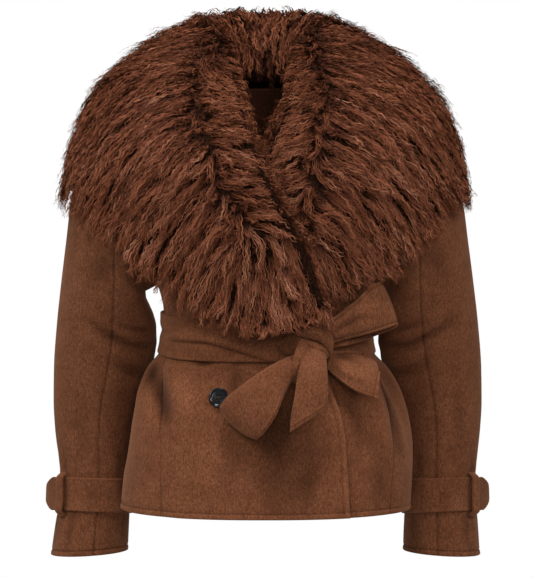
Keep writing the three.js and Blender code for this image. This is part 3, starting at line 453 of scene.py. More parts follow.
def hull_point(turn, z, out=0.0):
    facing = np.cos(np.radians(turn))
    power = np.where(facing > 0, 2 / FUR_POWER_FRONT, 2 / FUR_POWER_BACK)
    reach = np.where(facing > 0, hull["front"](z), hull["back"](z))
    x = signed_power(np.sin(np.radians(turn)), power) * (hull["half"](z) + out)
    y = -signed_power(facing, power) * (reach + out)
    return np.stack(np.broadcast_arrays(x, y, z), -1)


def left_reach(z):
    return 1 + LEFT_FUR_REACH / HULL_HALF * smooth_step(*LEFT_FUR_HEIGHTS, z)


def overlap_lift(turn, z):
    return OVERLAP_LIFT * smooth_step(*OVERLAP_TURNS, turn) * smooth_step(*OVERLAP_HEIGHTS, z)


def across_collar(share, seam, tuck_to, section):
    down = np.clip(1 - share / NECK_SHARE, 0, 1)
    front = section(np.maximum(0, (share - NECK_SHARE) / (1 - NECK_SHARE)))
    inside = front + (seam - front) * down[..., None]
    inside = inside + tuck_to * (np.sin(np.pi * down) ** 0.8)[..., None]
    return np.where((share >= NECK_SHARE)[..., None], front, inside)


def lapel_surface(side):
    sign = -1 if side == "right" else 1
    at = lapel[side]

    def surface(row, share):
        row, share = np.broadcast_arrays(np.asarray(row, float), np.asarray(share, float))

        def section(down):
            turn = at["top_turn"](row) + (at["low_turn"](row) - at["top_turn"](row)) * down**0.85
            z = at["top_z"](row) + (at["low_z"](row) - at["top_z"](row)) * down
            point = hull_point(turn, z, overlap_lift(turn, z) if side == "right" else 0.0)
            reach = np.where(point[..., 0] > 0, left_reach(z), 1.0) if side == "left" else 1.0
            point[..., 0] *= sign * reach
            return point

        seam = np.stack([sign * at["seam_x"](row), at["seam_y"](row), at["seam_z"](row)], -1)
        tuck = np.stack([-sign * at["tuck"](row), 0 * row, 0 * row], -1)
        return across_collar(share, seam, tuck, section)

    return surface


def back_collar_surface(turn, share):
    turn, share = np.broadcast_arrays(np.asarray(turn, float), np.asarray(share, float))
    start = np.cos(np.radians(BACK_TOP_TURN))
    facing = np.minimum(0, np.cos(np.radians(turn)) - start)
    middle_share = np.sin(np.radians(np.abs(facing) / 0.88 * 90))
    top_z = BACK_TOP_Z + (BACK_MID_TOP_Z - BACK_TOP_Z) * middle_share
    low_z = BACK_LOW_Z + (BACK_MID_LOW_Z - BACK_LOW_Z) * middle_share

    def section(down):
        point = hull_point(turn, top_z + (low_z - top_z) * down)
        point[..., 0] *= np.where(turn < 180, left_reach(point[..., 2]), 1.0)
        return point

    rearward = (start - np.cos(np.radians(turn))) / (start + 1)
    seam_x = signed_power(np.sin(np.radians(turn)), 2 / FUR_POWER_BACK) * NECK_SIDE
    seam_y = NECK_SIDE_Y + (NECK_BACK - NECK_SIDE_Y) * rearward
    seam_z = NECK_SIDE_Z + (NECK_BACK_Z - NECK_SIDE_Z) * middle_share
    inward = np.stack([-np.sin(np.radians(turn)), -rearward, 0 * turn], -1) * NECK_TUCK
    return across_collar(share, np.stack([seam_x, seam_y, seam_z], -1), inward, section)


def pile_depth(turn, share):
    down = np.clip((share - NECK_SHARE) / (1 - NECK_SHARE), 0, 1)
    over_arm = smooth_step(*PILE_ARM_FRONT, np.abs(turn)) * smooth_step(*PILE_ARM_BACK, np.abs(turn))
    middle = PILE_MIDDLE + (PILE_ARM - PILE_MIDDLE) * over_arm * smooth_step(*PILE_ARM_DOWN, down)
    grown = PILE_NECK + (middle - PILE_NECK) * smooth_step(0, 0.25, down)
    edge = PILE_EDGE + (PILE_ARM_EDGE - PILE_EDGE) * over_arm
    return np.where(share < NECK_SHARE, PILE_NECK, edge + (grown - edge) * (1 - down**3))


def belt_surface(turn, across):
    facing = np.cos(np.radians(turn))
    middle = BELT_SIDE_Z + (BELT_FRONT_Z - BELT_SIDE_Z) * np.maximum(0, facing)
    middle = middle + (BELT_BACK_Z - BELT_SIDE_Z) * np.maximum(0, -facing)
    over_lap = LAP * np.prod([smooth_step(*turns, turn) for turns in BELT_LAP_TURNS], axis=0)
    return body_point(turn, middle + across * BELT_WIDTH / 2, BELT_EASE + over_lap + BELT_THICKNESS)


# How far the corners at each loop's fold are drawn in or out, in x and z
FOLD_ROUNDING = {"bow_loop_upper": (-3.0, -1.5), "bow_loop_lower": (5.0, 5.0)}
FOLD_STATION = 4
LOOP_FORWARD_X = 118.0  # beyond this x the upper loop no longer falls back with the waist


def band_surface(name, stations):
    at = curves(stations)
    round_x, round_z = FOLD_ROUNDING.get(name, (0.0, 0.0))

    def surface(share, station):
        corner = np.abs(2 * share - 1) ** 3 * np.exp(-(((station - FOLD_STATION) / 0.6) ** 2))
        x = at["ax"](station) + (at["bx"](station) - at["ax"](station)) * share + round_x * corner
        z = at["az"](station) + (at["bz"](station) - at["az"](station)) * share + round_z * corner
        bow = at["crown"](station) * 4 * share * (1 - share)
        under = front_at(np.minimum(x, LOOP_FORWARD_X) if name == "bow_loop_upper" else x, z)
        return np.stack([x, under - at["lift"](station) - bow, z], -1)

    return surface


# Meshes. A float attribute on each cloth point is 0.5 on even cloth, less in troughs and seams, and more on
# ridges: it darkens the wool's colour as painted shade in the troughs and seams, and lightens it as a painted
# highlight on the ridges.
CREASE_SHADE_ATTRIBUTE = "crease_shade"
CREASE_SHADE_DEPTH = 9.0  # millimetres of relief to the whole change of the attribute


def grid_faces(rows, columns, closed, flip=False, first=0):
    at = first + np.arange(rows * columns).reshape(rows, columns)
    if closed:
        at = np.concatenate([at, at[:, :1]], 1)
    corners = [at[:-1, :-1], at[:-1, 1:], at[1:, 1:], at[1:, :-1]]
    return np.stack(corners[::-1] if flip else corners, -1).reshape(-1, 4)


def add_mesh(name, points, faces, material, uvs=None, inner_faces=None, inner_material=None, crease_shade=None):
    """points in millimetres, faces one array of quads or triangles, uvs one pair for each face corner."""
    mesh = bpy.data.meshes.new(name)
    corners = faces.shape[1]
    mesh.vertices.add(len(points))
    mesh.vertices.foreach_set("co", (points * MM).astype(np.float32).ravel())
    mesh.loops.add(faces.size)
    mesh.loops.foreach_set("vertex_index", faces.astype(np.int32).ravel())
    mesh.polygons.add(len(faces))
    mesh.polygons.foreach_set("loop_start", np.arange(0, faces.size, corners, dtype=np.int32))
    mesh.polygons.foreach_set("use_smooth", np.ones(len(faces), bool))
    mesh.update(calc_edges=True)
    if uvs is not None:
        layer = mesh.uv_layers.new(name=STRAND_UV)
        layer.data.foreach_set("uv", uvs.astype(np.float32).ravel())
    if crease_shade is not None:
        values = mesh.attributes.new(CREASE_SHADE_ATTRIBUTE, "FLOAT", "POINT").data
        values.foreach_set("value", crease_shade.astype(np.float32).ravel())
    mesh.materials.append(material)
    if inner_material is not None:
        mesh.materials.append(inner_material)
        mesh.polygons.foreach_set("material_index", inner_faces.astype(np.int32))
    piece = bpy.data.objects.new(name, mesh)
    bpy.context.scene.collection.objects.link(piece)
    return piece


def wall_mesh(name, outer, inner, material, closed=False, inner_material=None, crease_shade=None):
    """A closed wall between two like grids of points."""
    rows, columns = outer.shape[:2]
    points = np.concatenate([outer.reshape(-1, 3), inner.reshape(-1, 3)])
    count = rows * columns
    outside = grid_faces(rows, columns, closed)
    inside = grid_faces(rows, columns, closed, flip=True, first=count)
    at = np.arange(2 * count).reshape(2, rows, columns)

    def rim(a, b):
        if closed:
            a, b = np.append(a, a[:1]), np.append(b, b[:1])
        return np.stack([a[:-1], b[:-1], b[1:], a[1:]], -1)

    faces = [outside, inside, rim(at[0, 0], at[1, 0]), rim(at[0, -1], at[1, -1])[:, ::-1]]
    if not closed:
        faces.append(np.stack([at[0, :-1, 0], at[0, 1:, 0], at[1, 1:, 0], at[1, :-1, 0]], -1))
        faces.append(np.stack([at[0, :-1, -1], at[1, :-1, -1], at[1, 1:, -1], at[0, 1:, -1]], -1))
    faces = np.concatenate(faces)
    corner = points[faces]
    volume = np.sum(corner[:, 0] * np.cross(corner[:, 1], corner[:, 2]))
    volume += np.sum(corner[:, 0] * np.cross(corner[:, 2], corner[:, 3]))
    if volume < 0:
        faces = faces[:, ::-1]
    is_inner = np.zeros(len(faces), bool)
    is_inner[len(outside) : 2 * len(outside)] = True
    if crease_shade is not None:
        crease_shade = np.concatenate([crease_shade.ravel(), np.full(count, 0.5)])
    return add_mesh(name, points, faces, material, None, is_inner, inner_material, crease_shade)


def grid_normals(points, handed, closed=False):
    if closed:
        wrapped = np.concatenate([points[:, -1:], points, points[:, :1]], 1)
        along_u = (wrapped[:, 2:] - wrapped[:, :-2]) / 2
    else:
        along_u = np.gradient(points, axis=1)
    along_v = np.gradient(points, axis=0)
    return unit(np.cross(along_u, along_v)) * handed


# Lines of the grid close to an edge: distances from it in millimetres
EDGE_LINES = {
    "plain": (0.3, 0.8, 1.6, 3.0),
    "rim": (0.3, 0.8, 1.6, 2.6, 3.6, 4.4, 5.2, 6.4),
    "seam": (0.3, 0.8, 1.6, 3.0, 6.0),
    "roll": (0.3, 0.8, 1.6, 2.6, 3.6, 4.6, 5.8, 7.0, 7.8, 8.6, 9.6, 12.0),
    "hem": (0.3, 0.8, 1.6, 3.4, 5.6, 6.8, 7.6, 8.4, 9.6, 12.0),
}
STITCH_LINE = 7.6
# Low relief along each kind of edge: distance, width and height of ridges and grooves, and then of the
# painted shade lines in the grooves
EDGE_RELIEF = {
    "plain": ([], []),
    "seam": ([(0, 2.6, -1.0)], [(0, 1.5, 0.10)]),
    "rim": ([(2.2, 1.6, 0.5), (4.6, 1.0, -0.8)], [(4.6, 1.0, 0.10)]),
    "hem": ([(STITCH_LINE, 1.0, -0.8)], [(STITCH_LINE, 1.1, 0.12)]),
    "roll": ([(3.4, 3.0, 2.4), (8.4, 1.4, -0.9)], [(8.4, 1.8, 0.20)]),
}
HEM_RISE, HEM_RISE_START, HEM_RISE_END = 0.5, 7.2, 5.0
EDGE_WALL = 0.12  # half the wall that is left at a rounded edge


def lines(start, end, length, step, first="plain", last="plain"):
    """Grid lines from start to end, step apart over the given length, and closer at both edges."""
    even = np.linspace(0, length, max(2, int(round(length / step))) + 1)
    near = list(EDGE_LINES[first]) + [length - d for d in EDGE_LINES[last]]
    low, high = max(EDGE_LINES[first]) + 1, length - max(EDGE_LINES[last]) - 1
    keep = even[((even > low) & (even < high)) | (even == 0) | (even == length)]
    at = np.unique(np.concatenate([keep, near]))
    return start + (end - start) * at / length


def path_distance(a, b, path):
    """Distance of plane points to a line through corners, and how far along it they lie, from 0 to 1."""
    path = np.array(path, float)
    part = np.linalg.norm(np.diff(path, axis=0), axis=1)
    before = np.concatenate([[0], np.cumsum(part)])
    best = np.full(a.shape, 1e9)
    along = np.zeros(a.shape)
    for i in range(len(path) - 1):
        step = path[i + 1] - path[i]
        t = ((a - path[i, 0]) * step[0] + (b - path[i, 1]) * step[1]) / (part[i] ** 2)
        t = np.clip(t, 0, 1)
        away = np.hypot(a - path[i, 0] - step[0] * t, b - path[i, 1] - step[1] * t)
        closer = away < best
        best = np.where(closer, away, best)
        along = np.where(closer, (before[i] + t * part[i]) / before[-1], along)
    return best, along


VIEWS = {
    "front": (0, 2, np.array([0, -1, 0])),
    "back": (0, 2, np.array([0, 1, 0])),
    "right": (1, 2, np.array([-1, 0, 0])),
    "left": (1, 2, np.array([1, 0, 0])),
}


def trough(away, along, depth, width):
    """A soft trough with low ridges on both sides, which fades out at its ends."""
    fade = np.sin(np.pi * np.clip(along, 0.02, 0.98)) ** 0.6
    ridge = 0.35 * np.exp(-(((away - 2.1 * width) / (1.1 * width)) ** 2))
    return depth * fade * (np.exp(-((away / width) ** 2)) - ridge)


def crease_relief(points, normals, creases):
    """The troughs of all creases, each on the cloth that its view sees."""
    relief = np.zeros(points.shape[:2])
    for view, rows in creases.items():
        first, second, toward = VIEWS[view]
        seen = smooth_step(0.0, 0.45, normals @ toward)
        for path, depth, width in rows:
            away, along = path_distance(points[..., first], points[..., second], path)
            relief -= seen * trough(away, along, depth, width)
    return relief


def edge_distance(points, closed):
    """Distances to the first and last column and the first and last row."""
    along_u = np.linalg.norm(np.diff(points, axis=1), axis=2)
    along_v = np.linalg.norm(np.diff(points, axis=0), axis=2)
    from_first = np.concatenate([np.zeros((len(points), 1)), np.cumsum(along_u, 1)], 1)
    from_low = np.concatenate([np.zeros((1, points.shape[1])), np.cumsum(along_v, 0)])
    far = np.full(points.shape[:2], 1e3)
    u0, u1 = (far, far) if closed else (from_first, from_first[:, -1:] - from_first)
    return {"u0": u0, "u1": u1, "v0": from_low, "v1": from_low[-1:] - from_low}


def soft_ridges(distance, ridges):
    return sum(high * np.exp(-(((distance - at) / wide) ** 2)) for at, wide, high in ridges)


def cloth(name, nodes, surface, us, vs, thickness, handed, edges, creases=None,
          closed=False, extra=None, inner_material=None, follow=0.9):
    """A thin shell of cloth on a surface(u, v), with rounded edges, seams, stitch lines and creases.

    handed turns the normals outwards, edges names the kind of each side of the grid, extra adds its own
    relief, and follow is how far the inner face takes part in the relief.
    """
    points = surface(us[None, :], vs[:, None])
    normals = grid_normals(points, handed, closed)
    relief = crease_relief(points, normals, creases or {})
    if extra is not None:
        relief = relief + extra(points, normals, us, vs)
    distance = edge_distance(points, closed)
    nearest = np.full(points.shape[:2], 1e3)
    groove_shade = np.zeros(points.shape[:2])
    for side, kind in edges.items():
        d = distance[side]
        ridges, groove_shade_lines = EDGE_RELIEF[kind]
        relief = relief + soft_ridges(d, ridges)
        # Painted shade along the grooves of seams, stitch lines and rolled edges
        groove_shade = groove_shade + soft_ridges(d, groove_shade_lines)
        if kind == "hem":
            relief = relief + HEM_RISE * smooth_step(HEM_RISE_START, HEM_RISE_END, d)
        if kind != "seam":
            nearest = np.minimum(nearest, d)
    half = thickness / 2
    inset = np.minimum(nearest, half)
    drop = half - np.sqrt(np.maximum(half**2 - (half - inset) ** 2, 0))
    drop = np.minimum(drop, half - EDGE_WALL)
    outer = points + normals * (relief - drop)[..., None]
    inner = points + normals * (relief * follow - thickness + drop)[..., None]
    # Painted shade: the attribute falls with the relief in troughs and along the groove lines, and rises on
    # ridges as a painted highlight
    crease_shade = np.clip(0.5 + relief / CREASE_SHADE_DEPTH - groove_shade, 0, 1)
    piece = wall_mesh(name, outer, inner, wool, closed, inner_material, crease_shade)
    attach(piece, "root")
    if nodes:
        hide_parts(*nodes)
    return piece


# Materials


def node_of(tree, kind, **settings):
    node = tree.nodes.new(kind)
    for key, value in settings.items():
        setattr(node, key, value)
    return node


def set_inputs(node, values):
    for name, value in values.items():
        node.inputs[name].default_value = value


def new_material(name):
    material = bpy.data.materials.new(name)
    material.use_nodes = True
    return material, material.node_tree, material.node_tree.nodes["Principled BSDF"]


def noise(tree, vector, scale, detail, roughness):
    node = node_of(tree, "ShaderNodeTexNoise")
    set_inputs(node, {"Scale": scale, "Detail": detail, "Roughness": roughness})
    tree.links.new(vector, node.inputs["Vector"])
    return node.outputs["Fac"]


def ramp(tree, value, stops):
    node = node_of(tree, "ShaderNodeValToRGB")
    elements = node.color_ramp.elements
    while len(elements) < len(stops):
        elements.new(0.5)
    for element, (at, color) in zip(elements, stops):
        element.position = at
        element.color = (*color, 1)
    tree.links.new(value, node.inputs["Fac"])
    return node.outputs["Color"]


def mix(tree, kind, share, a, b):
    node = node_of(tree, "ShaderNodeMix", data_type="RGBA", blend_type=kind)
    node.inputs["Factor"].default_value = share
    for socket, value in ((node.inputs[6], a), (node.inputs[7], b)):
        tree.links.new(value, socket)
    return node.outputs[2]


def stretched(tree, scale):
    coordinates = node_of(tree, "ShaderNodeTexCoord")
    mapping = node_of(tree, "ShaderNodeMapping")
    mapping.inputs["Scale"].default_value = scale
    tree.links.new(coordinates.outputs["Object"], mapping.inputs["Vector"])
    return mapping.outputs["Vector"]


def bump(tree, height, strength, distance, normal=None):
    node = node_of(tree, "ShaderNodeBump")
    set_inputs(node, {"Strength": strength, "Distance": distance})
    tree.links.new(height, node.inputs["Height"])
    if normal is not None:
        tree.links.new(normal, node.inputs["Normal"])
    return node.outputs["Normal"]


# Colour factors of the painted crease shade: dark in troughs and seams, even at 0.5, and lighter on ridges as
# a painted highlight
PAINTED_CREASE_SHADE = [
    (0.0, (0.20, 0.17, 0.14)),
    (0.25, (0.62, 0.60, 0.57)),
    (0.48, (1, 1, 1)),
    (0.8, (1.25, 1.25, 1.25)),
]
WOOL_DARK, WOOL_MID, WOOL_LIGHT = (0.066, 0.020, 0.0078), (0.122, 0.042, 0.018), (0.205, 0.080, 0.037)


def make_wool(name, strength):
    """strength scales the colour: the inner face of the cloth is painted darker than the outer one, as the
    shade inside the coat.
    """
    material, tree, shader = new_material(name)
    even = stretched(tree, (1, 1, 1))
    nap = stretched(tree, (1.0, 1.0, 0.42))
    fibres = noise(tree, nap, 1150, 4, 0.62)
    flecks = noise(tree, nap, 420, 3, 0.6)
    clouds = noise(tree, even, 34, 3, 0.55)
    tones = [tuple(strength * part for part in tone) for tone in (WOOL_DARK, WOOL_MID, WOOL_LIGHT)]
    base = ramp(tree, fibres, list(zip((0.28, 0.5, 0.74), tones)))
    speckled = ramp(tree, flecks, [(0.3, (0.66, 0.63, 0.60)), (0.5, (1, 1, 1)), (0.72, (1.30, 1.33, 1.36))])
    clouded = ramp(tree, clouds, [(0.3, (0.86, 0.83, 0.80)), (0.7, (1.12, 1.14, 1.16))])
    color = mix(tree, "MULTIPLY", 1.0, base, speckled)
    color = mix(tree, "MULTIPLY", 1.0, color, clouded)
    # Painted shade in the creases and seams, and a painted highlight on the ridges, from the cloth's
    # attribute
    crease_shade = node_of(tree, "ShaderNodeAttribute", attribute_name=CREASE_SHADE_ATTRIBUTE)
    painted_crease_color = ramp(tree, crease_shade.outputs["Fac"], PAINTED_CREASE_SHADE)
    color = mix(tree, "MULTIPLY", 1.0, color, painted_crease_color)
    tree.links.new(color, shader.inputs["Base Color"])
    set_inputs(shader, {
        "Roughness": 0.92,
        "Specular IOR Level": 0.08,
        "Sheen Weight": 0.22 * strength,
        "Sheen Roughness": 0.5,
        "Sheen Tint": (0.85, 0.45, 0.28, 1),
    })
    soft = bump(tree, flecks, 0.35, 0.0009)
    normal = bump(tree, fibres, 0.5, 0.0005, soft)
    tree.links.new(normal, shader.inputs["Normal"])
    return material


STRAND_UV = "OFBake"
FUR_SHADES = [
    (0.0, (0.030, 0.0085, 0.0035)),
    (0.3, (0.085, 0.024, 0.0100)),
    (0.6, (0.185, 0.058, 0.0260)),
    (0.85, (0.245, 0.098, 0.0540)),
    (1.0, (0.310, 0.140, 0.0850)),
]
# Along each strand from root to tip: darker towards the roots, painted shade deep in the pile
FUR_ALONG = [
    (0.0, (0.30, 0.26, 0.22)),
    (0.25, (0.66, 0.62, 0.58)),
    (0.7, (1, 1, 1)),
    (1.0, (0.98, 0.98, 0.98)),
]


def make_fur():
    """Colour runs with the shade of each strand across the map, and from root to tip along it."""
    material, tree, shader = new_material("curly_fur")
    place = node_of(tree, "ShaderNodeUVMap", uv_map=STRAND_UV)
    parts = node_of(tree, "ShaderNodeSeparateXYZ")
    tree.links.new(place.outputs["UV"], parts.inputs["Vector"])
    shade = ramp(tree, parts.outputs["X"], FUR_SHADES)
    along = ramp(tree, parts.outputs["Y"], FUR_ALONG)
    color = mix(tree, "MULTIPLY", 1.0, shade, along)
    hairs = noise(tree, stretched(tree, (1, 1, 1)), 620, 3, 0.65)
    fine = ramp(tree, hairs, [(0.34, (0.55, 0.53, 0.50)), (0.5, (1, 1, 1)), (0.68, (1.26, 1.28, 1.30))])
    tree.links.new(mix(tree, "MULTIPLY", 1.0, color, fine), shader.inputs["Base Color"])
    set_inputs(shader, {"Roughness": 0.6, "Specular IOR Level": 0.06})
    return material


def make_hide():
    material, tree, shader = new_material("shaded_fur_base")
    even = stretched(tree, (1, 1, 0.6))
    tufts = noise(tree, even, 260, 4, 0.6)
    # Near-black: painted shade deep in the pile, seen between the locks
    color = ramp(tree, tufts, [(0.35, (0.004, 0.0014, 0.0007)), (0.65, (0.026, 0.0095, 0.0048))])
    tree.links.new(color, shader.inputs["Base Color"])
    set_inputs(shader, {"Roughness": 0.95, "Specular IOR Level": 0.05})
    tree.links.new(bump(tree, tufts, 0.8, 0.002), shader.inputs["Normal"])
    return material


def make_button_black():
    material, tree, shader = new_material("black_button")
    even = stretched(tree, (1, 1, 1))
    cloud = noise(tree, even, 160, 3, 0.5)
    color = ramp(tree, cloud, [(0.3, (0.002, 0.0019, 0.002)), (0.7, (0.006, 0.0055, 0.0058))])
    tree.links.new(color, shader.inputs["Base Color"])
    gloss = node_of(tree, "ShaderNodeMapRange")
    set_inputs(gloss, {"To Min": 0.16, "To Max": 0.30})
    tree.links.new(cloud, gloss.inputs["Value"])
    tree.links.new(gloss.outputs["Result"], shader.inputs["Roughness"])
    shader.inputs["Specular IOR Level"].default_value = 0.35
    return material


def make_thread():
    material, tree, shader = new_material("brown_thread")
    even = stretched(tree, (1, 1, 1))
    strands = noise(tree, even, 1800, 2, 0.5)
    color = ramp(tree, strands, [(0.3, (0.006, 0.003, 0.002)), (0.7, (0.02, 0.010, 0.006))])
    tree.links.new(color, shader.inputs["Base Color"])
    shader.inputs["Roughness"].default_value = 0.8
    return material


# The inner faces get a darker copy of the wool: painted shade inside the coat
wool, shaded_inner_wool = make_wool("brown_wool", 1.0), make_wool("shaded_inner_wool", 0.42)
fur, hide = make_fur(), make_hide()
button_black, thread = make_button_black(), make_thread()


# Camera, floor and light
CAMERA_PLACE = (0.0034, -3.0, -0.289)
CAMERA_LENS = 133.8
FLOOR_HALF, FLOOR_Z = 1900.0, -2200.0
LIGHTS_AIM = (0, 0, -0.25)
# Name, place in metres, diameter and power of each soft light
LIGHTS = [
    ("left", (-1.9, -1.6, 1.4), 1.0, 44),
    ("right", (2.0, -1.6, 1.2), 1.2, 32),
    ("front", (0.3, -3.3, 0.3), 1.2, 30),
    ("top", (-0.2, -1.0, 2.1), 0.7, 47),
    ("rear", (0.4, 2.4, 1.2), 1.8, 22),
]
WORLD_LIGHT = 0.24


def set_stage():
    camera = bpy.data.objects.new("camera", bpy.data.cameras.new("camera"))
    camera.data.lens = CAMERA_LENS
    camera.location = CAMERA_PLACE
    camera.rotation_euler = (np.pi / 2, 0, 0)
    bpy.context.scene.collection.objects.link(camera)
    bpy.context.scene.camera = camera
    bpy.context.scene.view_settings.view_transform = "Standard"

    pale, _, shader = new_material("pale_floor")
    set_inputs(shader, {"Base Color": (0.86, 0.86, 0.86, 1), "Roughness": 0.8})
    corners = [[x * FLOOR_HALF, y * FLOOR_HALF, FLOOR_Z] for x, y in ((-1, -1), (1, -1), (1, 1), (-1, 1))]
    floor = add_mesh("floor", np.array(corners), np.array([[0, 1, 2, 3]]), pale)

    add_world()
    for name, place, size, power in LIGHTS:
        lamp = bpy.data.lights.new(name, "AREA")
        lamp.shape = "DISK"
        lamp.size = size
        lamp.energy = power
        holder = bpy.data.objects.new(name, lamp)
        holder.location = place
        holder.rotation_euler = look_along(np.array(LIGHTS_AIM) - np.array(place))
        bpy.context.scene.collection.objects.link(holder)


def add_world():
    """A white backdrop all round, which lights the coat less than it shows."""
    world = bpy.data.worlds.new("studio")
    world.use_nodes = True
    tree = world.node_tree
    seen = tree.nodes["Background"]
    seen.inputs["Color"].default_value = (1, 1, 1, 1)
    soft = node_of(tree, "ShaderNodeBackground")
    set_inputs(soft, {"Color": (1, 1, 1, 1), "Strength": WORLD_LIGHT})
    path = node_of(tree, "ShaderNodeLightPath")
    both = node_of(tree, "ShaderNodeMixShader")
    tree.links.new(path.outputs["Is Camera Ray"], both.inputs["Fac"])
    tree.links.new(soft.outputs["Background"], both.inputs[1])
    tree.links.new(seen.outputs["Background"], both.inputs[2])
    tree.links.new(both.outputs["Shader"], tree.nodes["World Output"].inputs["Surface"])
    bpy.context.scene.world = world


def look_along(direction):
    x, y, z = direction / np.linalg.norm(direction)
    return (np.arccos(-z), 0.0, np.arctan2(-x, y))


set_stage()


# Body panels. Creases are (path, depth, width) for each view: paths in the view's two axes, in millimetres.
ARMHOLE_ANGLES = np.arange(PRINCESS_JOIN, -0.1, -5)
ARMHOLE_ROWS = ARMHOLE_MIDDLE + ARMHOLE_REACH * np.cos(np.radians(ARMHOLE_ANGLES))
SKIRT_LINES = lines(SKIRT_BOTTOM, PRINCESS_TOP, PRINCESS_TOP - SKIRT_BOTTOM, 6.0, "hem", "plain")[:-5]
PANEL_ROWS = np.concatenate([SKIRT_LINES, ARMHOLE_ROWS, [-54, -46, -36, -26, -16, -8, -3, -1, 0]])

BODY_CREASES = {
    "front": [
        ([(-156, -388), (-148, -412), (-138, -440), (-128, -476)], 4.6, 13),
        ([(-150, -386), (-158, -404), (-168, -430)], 2.6, 7),
        ([(-100, -384), (-84, -388), (-64, -385)], 4.2, 5),
        ([(-40, -386), (-36, -404), (-44, -430)], 2.2, 9),
        ([(0, -400), (8, -450), (20, -510), (24, -600)], 3.4, 46),
        ([(112, -392), (122, -424), (126, -470), (124, -540)], 2.2, 13),
        ([(150, -384), (164, -420), (176, -460), (186, -520)], 4.0, 8),
        ([(-104, -480), (-98, -530), (-100, -590)], 1.6, 20),
        ([(-52, -470), (-48, -530), (-54, -590)], 2.0, 18),
        ([(66, -480), (62, -540), (58, -590)], 1.0, 16),
        ([(150, -520), (156, -560), (154, -590)], 2.0, 14),
        ([(-120, -330), (-112, -300), (-118, -268)], 3.0, 8),
        ([(-84, -332), (-72, -310), (-66, -286)], 2.2, 7),
        ([(128, -328), (122, -300), (130, -272)], 2.8, 8),
    ],
    "back": [
        ([(-118, -372), (-124, -404), (-134, -452)], 2.6, 9),
        ([(-64, -370), (-60, -396), (-66, -436)], 2.0, 8),
        ([(-14, -370), (-18, -410), (-12, -470)], 1.6, 11),
        ([(44, -370), (50, -400), (46, -442)], 2.2, 8),
        ([(104, -372), (112, -410), (122, -470)], 2.8, 9),
        ([(-96, -316), (-104, -288), (-100, -250)], 2.0, 9),
        ([(-30, -314), (-24, -290), (-30, -262)], 1.4, 9),
        ([(60, -314), (66, -284), (60, -244)], 1.8, 9),
        ([(118, -316), (126, -290), (128, -262)], 1.8, 8),
        ([(-50, -480), (-56, -530), (-50, -590)], 1.4, 18),
        ([(76, -490), (80, -540), (84, -590)], 1.3, 16),
    ],
    "right": [
        ([(-20, -374), (-26, -410), (-34, -460)], 2.4, 9),
        ([(34, -372), (40, -410), (44, -476)], 2.6, 9),
        ([(10, -322), (14, -300), (8, -284)], 1.5, 8),
    ],
    "left": [
        ([(-30, -374), (-36, -404), (-42, -450)], 2.2, 8),
        ([(22, -372), (30, -420), (34, -490)], 2.8, 10),
        ([(0, -322), (4, -304), (-4, -286)], 1.5, 8),
    ],
}


def under_lap(points, normals, us, vs):
    """The left front sinks a little where the right front's edge lies on it."""
    past = points[..., 0] - right_edge(points[..., 2])
    return -3.6 * np.exp(-(((past - 1.2) / 2.8) ** 2)) * smooth_step(-384, -400, points[..., 2])


def add_body():
    fronts = [
        ("front_right", front_right_surface, lines(0, 1, 260, 5.4, "seam", "roll"), None,
         {"v0": "hem", "v1": "plain", "u0": "seam", "u1": "roll"}),
        ("front_left", front_left_surface, lines(0, 1, 230, 3.8, "plain", "seam"), under_lap,
         {"v0": "hem", "v1": "plain", "u0": "plain", "u1": "seam"}),
    ]
    for name, surface, us, extra, edges in fronts:
        cloth(name, [name], surface, us, PANEL_ROWS, WALL, 1, edges, BODY_CREASES, extra=extra,
              inner_material=shaded_inner_wool)
    edges = {"v0": "hem", "v1": "plain", "u0": "seam", "u1": "seam"}
    cloth("back", ["back"], back_surface, lines(0, 1, 360, 6.6, "seam", "seam"), PANEL_ROWS, WALL, 1, edges,
          BODY_CREASES, inner_material=shaded_inner_wool)
    rows = lines(SKIRT_BOTTOM, PRINCESS_TOP, PRINCESS_TOP - SKIRT_BOTTOM, 6.5, "hem", "plain")
    for side, handed in (("right", -1), ("left", 1)):
        name = f"side_{side}"
        us = lines(-1, 1, 120, 5.0, "seam", "seam")
        cloth(name, [name], side_surface(side), us, rows, WALL, handed, edges, BODY_CREASES,
              inner_material=shaded_inner_wool)


